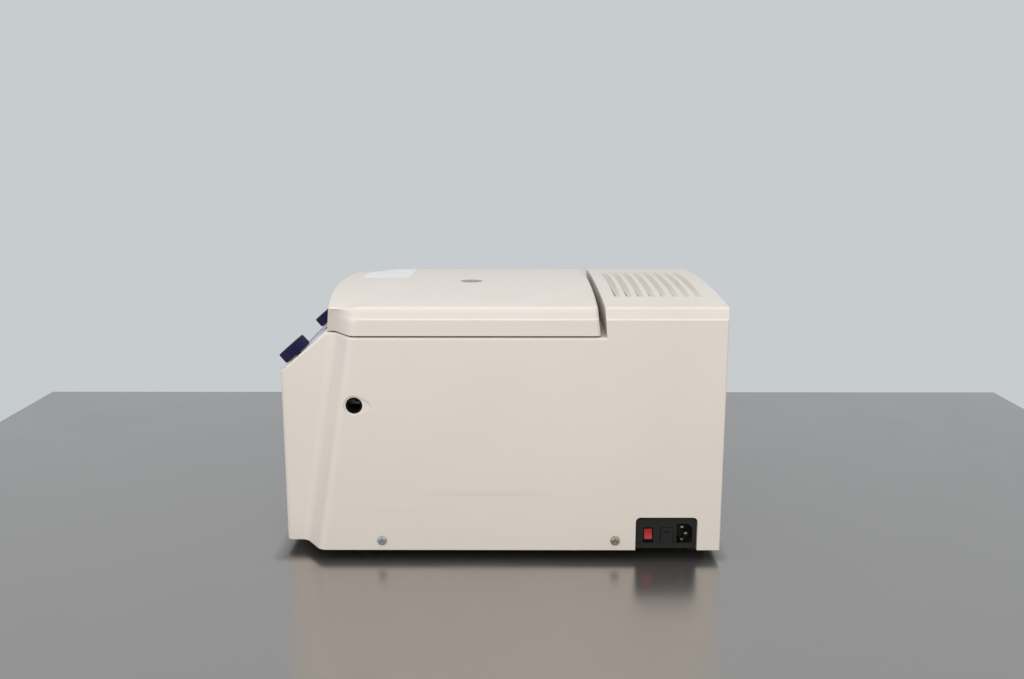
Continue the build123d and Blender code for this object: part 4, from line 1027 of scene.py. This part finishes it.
def plan_stations():
    """Outlines at rising levels, all cut at the same shares of the same spans, and closed round."""
    levels = np.array([*np.linspace(shell_low.z, step_level, lower_levels),
                       *np.linspace(step_level + step_in, crown_edge, upper_levels), crown_top])
    halves = [half_outline(z) for z in levels]
    spans = np.linalg.norm(np.diff(halves[0], axis=0), axis=1)
    counts = np.ceil(spans / station_length).astype(int)
    shares = np.concatenate([i + np.arange(n) / n for i, n in enumerate(counts)])
    whole = []
    for half in halves:
        cut = np.stack([np.interp(shares, np.arange(len(half)), half[:, k]) for k in (0, 1)], axis=-1)
        cut = np.concatenate([cut, half[-1:]])
        whole.append(np.concatenate([cut, (cut * (-1, 1))[-2:0:-1]]))
    return levels, np.array(whole)


def moved_in(ring, inset):
    """A closed ring moved inwards along its own normals."""
    along = np.roll(ring, -1, axis=0) - np.roll(ring, 1, axis=0)
    normal = np.stack([-along[:, 1], along[:, 0]], axis=-1)
    normal /= np.linalg.norm(normal, axis=1)[:, None]
    towards = np.sign(np.sum(normal * (np.array(window_middle[:2]) - ring), axis=1))[:, None]
    return ring + normal * towards * inset


def at_heights(levels, plans, heights):
    """One ring whose points have their own heights: p (1 - t) + q t, where p and q are a point's
    places at the levels below and above its height, and t is its share of the way up."""
    above = np.clip(np.searchsorted(levels, heights), 1, len(levels) - 1)
    below = above - 1
    share = np.clip((heights - levels[below]) / (levels[above] - levels[below]), 0, 1)[:, None]
    point = np.arange(len(heights))
    return plans[below, point] * (1 - share) + plans[above, point] * share


def front_dips(ring):
    """How far the roof's edge lies below the crown: d ((|x| - a) / (n - a))^2 along the front,
    falling to none over the crease."""
    x = np.abs(ring[:, 0])
    front = np.clip((x - dip_start) / (nose_top_half - dip_start), 0, 1) ** 2
    crease = np.clip((crown_half - x) / (crown_half - nose_top_half), 0, 1) ** 0.5
    return front_dip * np.where(ring[:, 1] < 0, np.minimum(front, crease), 0)


def lid_rings():
    """Rings of the shell: up its outside, over the roof to the window, and back on the inside."""
    levels, plans = plan_stations()
    plain = plans[-2]
    dip = front_dips(plain)
    edge = at_heights(levels, plans, crown_height(np.clip(plain[:, 0], -crown_half, crown_half)) - dip)
    top = crown_height(edge[:, 0]) - dip
    middle = np.array(window_middle[:2])
    ray = edge - middle
    ray /= np.linalg.norm(ray, axis=1)[:, None]
    rings = []

    def wall(shares, inset, lift):
        for t in shares:
            heights = shell_low.z + t * (top - lift - shell_low.z)
            rings.append(np.column_stack([moved_in(at_heights(levels, plans, heights), inset), heights]))

    def roof(shares, inset, drop):
        start = moved_in(edge, inset)
        for t in shares:
            flat = start * (1 - t) + (middle + ray * window_bore) * t
            lowered = drop + dip * (1 - t) ** dip_fade
            rings.append(np.column_stack([flat, crown_height(flat[:, 0]) - lowered]))

    def bore(radius, level):
        flat = middle + ray * radius
        rings.append(np.column_stack([flat, np.full(len(flat), level)]))

    rise = crown_edge - rim_soft - shell_low.z
    step = (step_level - shell_low.z) / rise
    ledge = (step_level + step_in - shell_low.z) / rise
    rises = [0, first_rise, *step * np.array((0.25, 0.5, 0.75)), step, ledge, *upper_rises]
    wall(rises, 0, rim_soft)
    for turn in np.radians((22, 45, 68)):
        flat = moved_in(edge, rim_soft * (1 - np.cos(turn)))
        rings.append(np.column_stack([flat, top - rim_soft * (1 - np.sin(turn))]))
    roof(np.linspace(0, 1, roof_rings), rim_soft, 0)
    for radius, level in ((window_bore, lens_seat), (window_lip, lens_seat), (window_lip, lens_end),
                          (window_boss, lens_end)):
        bore(radius, level)
    roof(np.linspace(inner_stop, 0, roof_rings), rim_soft + skin, skin)
    wall(rises[::-1], skin, rim_soft + skin)
    rings.append(rings[0])
    return np.array(rings)


def without_boxes(piece, boxes):
    """Cuts boxes, each given by two corners, out of a piece."""
    cutters = []
    for low, high in boxes:
        cutter = plain_box("cutter", low, high, casing_plastic, 0)
        step = piece.modifiers.new("slot", "BOOLEAN")
        step.operation = "DIFFERENCE"
        step.solver = "EXACT"
        step.object = cutter
        cutters.append(cutter)
    bpy.context.view_layer.update()
    whole = bpy.data.meshes.new_from_object(piece.evaluated_get(bpy.context.evaluated_depsgraph_get()))
    piece.modifiers.clear()
    piece.data = whole
    for cutter in cutters:
        bpy.data.objects.remove(cutter)


lid_cover = closed_mesh("lid_cover", [lid_rings()], casing_plastic)
pivot = Vector(joints["lid_hinge"]["pos_m"])
slots = [(Vector((x - slot_half, pivot.y, slot_low)), Vector((x + slot_half, slot_rear, slot_top)))
         for x in slot_places]
without_boxes(lid_cover, slots)
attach(lid_cover, "lid")
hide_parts("lid_shell")

# Lid window and roof label
# A round smoked lens lets the operator see the rotor stop. A plain white label is stuck on the
# roof, and follows its form.

label_x = (-0.125, -0.028)
label_y = (-0.1585, -0.105)
label_corner = 0.003
label_lift = 0.00015
label_steps = 40
label_white = (0.80, 0.775, 0.775)


def smoked_lens():
    """Grey translucent plastic with a soft satin face."""
    finish = new_finish("smoked_lens", (0.235, 0.235, 0.225), 0.3)
    two_tone(finish, noise(finish, 80, 3), (0.25, 0.25, 0.24), (0.21, 0.21, 0.20))
    gloss_with(finish, noise(finish, 200, 3), 0.22, 0.36)
    relief(finish, noise(finish, 1800, 2), 0.00001, edge=0.0003)
    return finish


def roof_heights(x, y):
    """Height of the lid's outside at each point of a grid, found by a ray straight down."""
    roof = BVHTree.FromPolygons([v.co for v in lid_cover.data.vertices],
                                [p.vertices for p in lid_cover.data.polygons])
    down = Vector((0, 0, -1))
    return np.array([[roof.ray_cast(Vector((a, b, crown_top + 0.01)), down)[0].z for a, b in zip(*row)]
                     for row in zip(x, y)])


def label_sheet():
    """A sheet with round corners on the roof: each row is drawn in near the two short ends by
    r - sqrt(r^2 - d^2), where d is how far it lies inside the corner."""
    u = np.linspace(0, 1, label_steps)
    y = label_y[0] + (label_y[1] - label_y[0]) * u
    d = np.clip(np.maximum(label_y[0] + label_corner - y, y - label_y[1] + label_corner), 0, label_corner)
    draw = label_corner - np.sqrt(label_corner ** 2 - d ** 2)
    s = np.linspace(0, 1, label_steps)[None, :]
    x = (label_x[0] + draw)[:, None] * (1 - s) + (label_x[1] - draw)[:, None] * s
    y = np.broadcast_to(y[:, None], x.shape)
    z = roof_heights(x, y)
    top = np.stack([x, y, z + label_lift], axis=-1)
    under = np.stack([x, y, z - label_lift], axis=-1)
    index = np.arange(label_steps ** 2).reshape(label_steps, label_steps)
    quads = np.stack([index[:-1, :-1], index[:-1, 1:], index[1:, 1:], index[1:, :-1]], axis=-1).reshape(-1, 4)
    rim = np.concatenate([index[0, :], index[1:, -1], index[-1, -2::-1], index[-2:0:-1, 0]])
    beside = np.roll(rim, -1)
    below = label_steps ** 2
    walls = np.stack([rim, rim + below, beside + below, beside], axis=-1)
    points = np.concatenate([top.reshape(-1, 3), under.reshape(-1, 3)])
    faces = quads.tolist() + (quads[:, ::-1] + below).tolist() + walls.tolist()
    return finished("roof_label", worked("roof_label", points, faces), label_vinyl())


def label_vinyl():
    """White vinyl, brighter and smoother than the casing, slightly grubby in patches."""
    finish = new_finish("label_vinyl", label_white, 0.35)
    grubby = spread(finish, noise(finish, 90, 4), 0.5, 0.8, 0, 0.4)
    two_tone(finish, grubby, label_white, (0.70, 0.685, 0.66))
    relief(finish, noise(finish, 900, 3), 0.00001)
    return finish


wear(smoked_lens(), "lid_window")
label = label_sheet()
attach(label, "lid")

# Table and wall
# A satin metal table top, with a painted shadow under and round the machine, carries the machine before a
# pale wall colour. Neither belongs to it.

table_back = -0.543
table_front = 0.90
table_left = -0.77
table_right = 0.83
table_grey = (0.432, 0.414, 0.402)
table_painted_shadow = (0.20, 0.19, 0.18)
painted_shadow_reach = 0.016
foot_middle = 0.002
foot_half = (0.140, 0.224)
wall_colour = (0.573, 0.602, 0.625)
room_light = (0.93, 0.97, 1.0)
room_strength = 0.52


def table_finish():
    """Satin grey metal with a painted shadow under the machine and in a narrow ring round it, by the
    distance of a point from that rectangle."""
    finish = new_finish("table_finish", table_grey, 0.23, 0.88)
    gloss_with(finish, noise(finish, 9, 4), 0.19, 0.27)
    inside = place_of(finish, shift=(0, -foot_middle, 0))
    for kind, value in (("ABSOLUTE", None), ("SUBTRACT", (*foot_half, 0)), ("MAXIMUM", (0, 0, 0))):
        step = add(finish, "ShaderNodeVectorMath", operation=kind)
        join(finish, inside, step.inputs[0])
        if value is not None:
            step.inputs[1].default_value = value
        inside = step.outputs["Vector"]
    away = add(finish, "ShaderNodeVectorMath", operation="LENGTH")
    join(finish, inside, away.inputs[0])
    lit = spread(finish, away.outputs["Value"], 0, painted_shadow_reach, 0, 1)
    # Painted shadow: the table darkens under the machine and close round it.
    two_tone(finish, lit, table_painted_shadow, table_grey)
    return finish


mesh = bpy.data.meshes.new("table")
mesh.from_pydata([(table_back, table_left, 0), (table_front, table_left, 0), (table_front, table_right, 0),
                  (table_back, table_right, 0)], [], [(0, 1, 2, 3)])
table = shown("table", mesh, table_finish())

world = bpy.data.worlds.new("studio")
scene.world = world
world.use_nodes = True
tree = world.node_tree
back = tree.nodes["Background"]
seen = tree.nodes.new("ShaderNodeBackground")
seen.inputs["Color"].default_value = (*wall_colour, 1)
seen.inputs["Strength"].default_value = 1.0
back.inputs["Color"].default_value = (*room_light, 1)
back.inputs["Strength"].default_value = room_strength
rays = tree.nodes.new("ShaderNodeLightPath")
shows_wall = rays.outputs["Is Camera Ray"]
for kind in ("Is Glossy Ray", "Is Transmission Ray"):
    either = tree.nodes.new("ShaderNodeMath")
    either.operation = "MAXIMUM"
    tree.links.new(shows_wall, either.inputs[0])
    tree.links.new(rays.outputs[kind], either.inputs[1])
    shows_wall = either.outputs[0]
choose = tree.nodes.new("ShaderNodeMixShader")
tree.links.new(shows_wall, choose.inputs[0])
tree.links.new(back.outputs[0], choose.inputs[1])
tree.links.new(seen.outputs[0], choose.inputs[2])
tree.links.new(choose.outputs[0], tree.nodes["World Output"].inputs["Surface"])


def soft_light(name, place, target, wide, tall, power, colour):
    """A rectangular lamp that faces its target and isn't mirrored in polished surfaces."""
    lamp = bpy.data.lights.new(name, "AREA")
    lamp.shape = "RECTANGLE"
    lamp.size = wide
    lamp.size_y = tall
    lamp.energy = power
    lamp.color = colour
    holder = bpy.data.objects.new(name, lamp)
    holder.location = place
    holder.rotation_euler = (Vector(target) - Vector(place)).to_track_quat("-Z", "Y").to_euler()
    holder.visible_glossy = False
    scene.collection.objects.link(holder)


machine_middle = (0, 0, 0.14)
soft_light("side_lamp", (2.3, 0.1, 1.25), machine_middle, 2.6, 1.6, 43.5, (1.0, 0.96, 0.90))
soft_light("roof_lamp", (0.1, 0.0, 2.3), machine_middle, 2.2, 2.2, 18.5, (0.97, 0.985, 1.0))
soft_light("front_lamp", (0.5, -2.3, 1.0), machine_middle, 1.6, 1.6, 12, (1.0, 0.98, 0.95))

# Camera
# It stands at the machine's right side, at the photograph's height and angle.

camera_place = (1.146, 0.0169, 0.4404)
camera_pitch = math.radians(11.68)
camera_yaw = math.radians(0.168)
camera_lens = 36.035
camera_data = bpy.data.cameras.new("camera")
camera_data.sensor_width = 36.0
camera_data.lens = camera_lens
camera = bpy.data.objects.new("camera", camera_data)
scene.collection.objects.link(camera)
camera.location = camera_place
level_part = math.cos(camera_pitch)
ahead = Vector((-level_part * math.cos(camera_yaw), -level_part * math.sin(camera_yaw),
                -math.sin(camera_pitch)))
camera.rotation_euler = ahead.to_track_quat("-Z", "Y").to_euler()
scene.camera = camera
scene.view_settings.view_transform = "Standard"
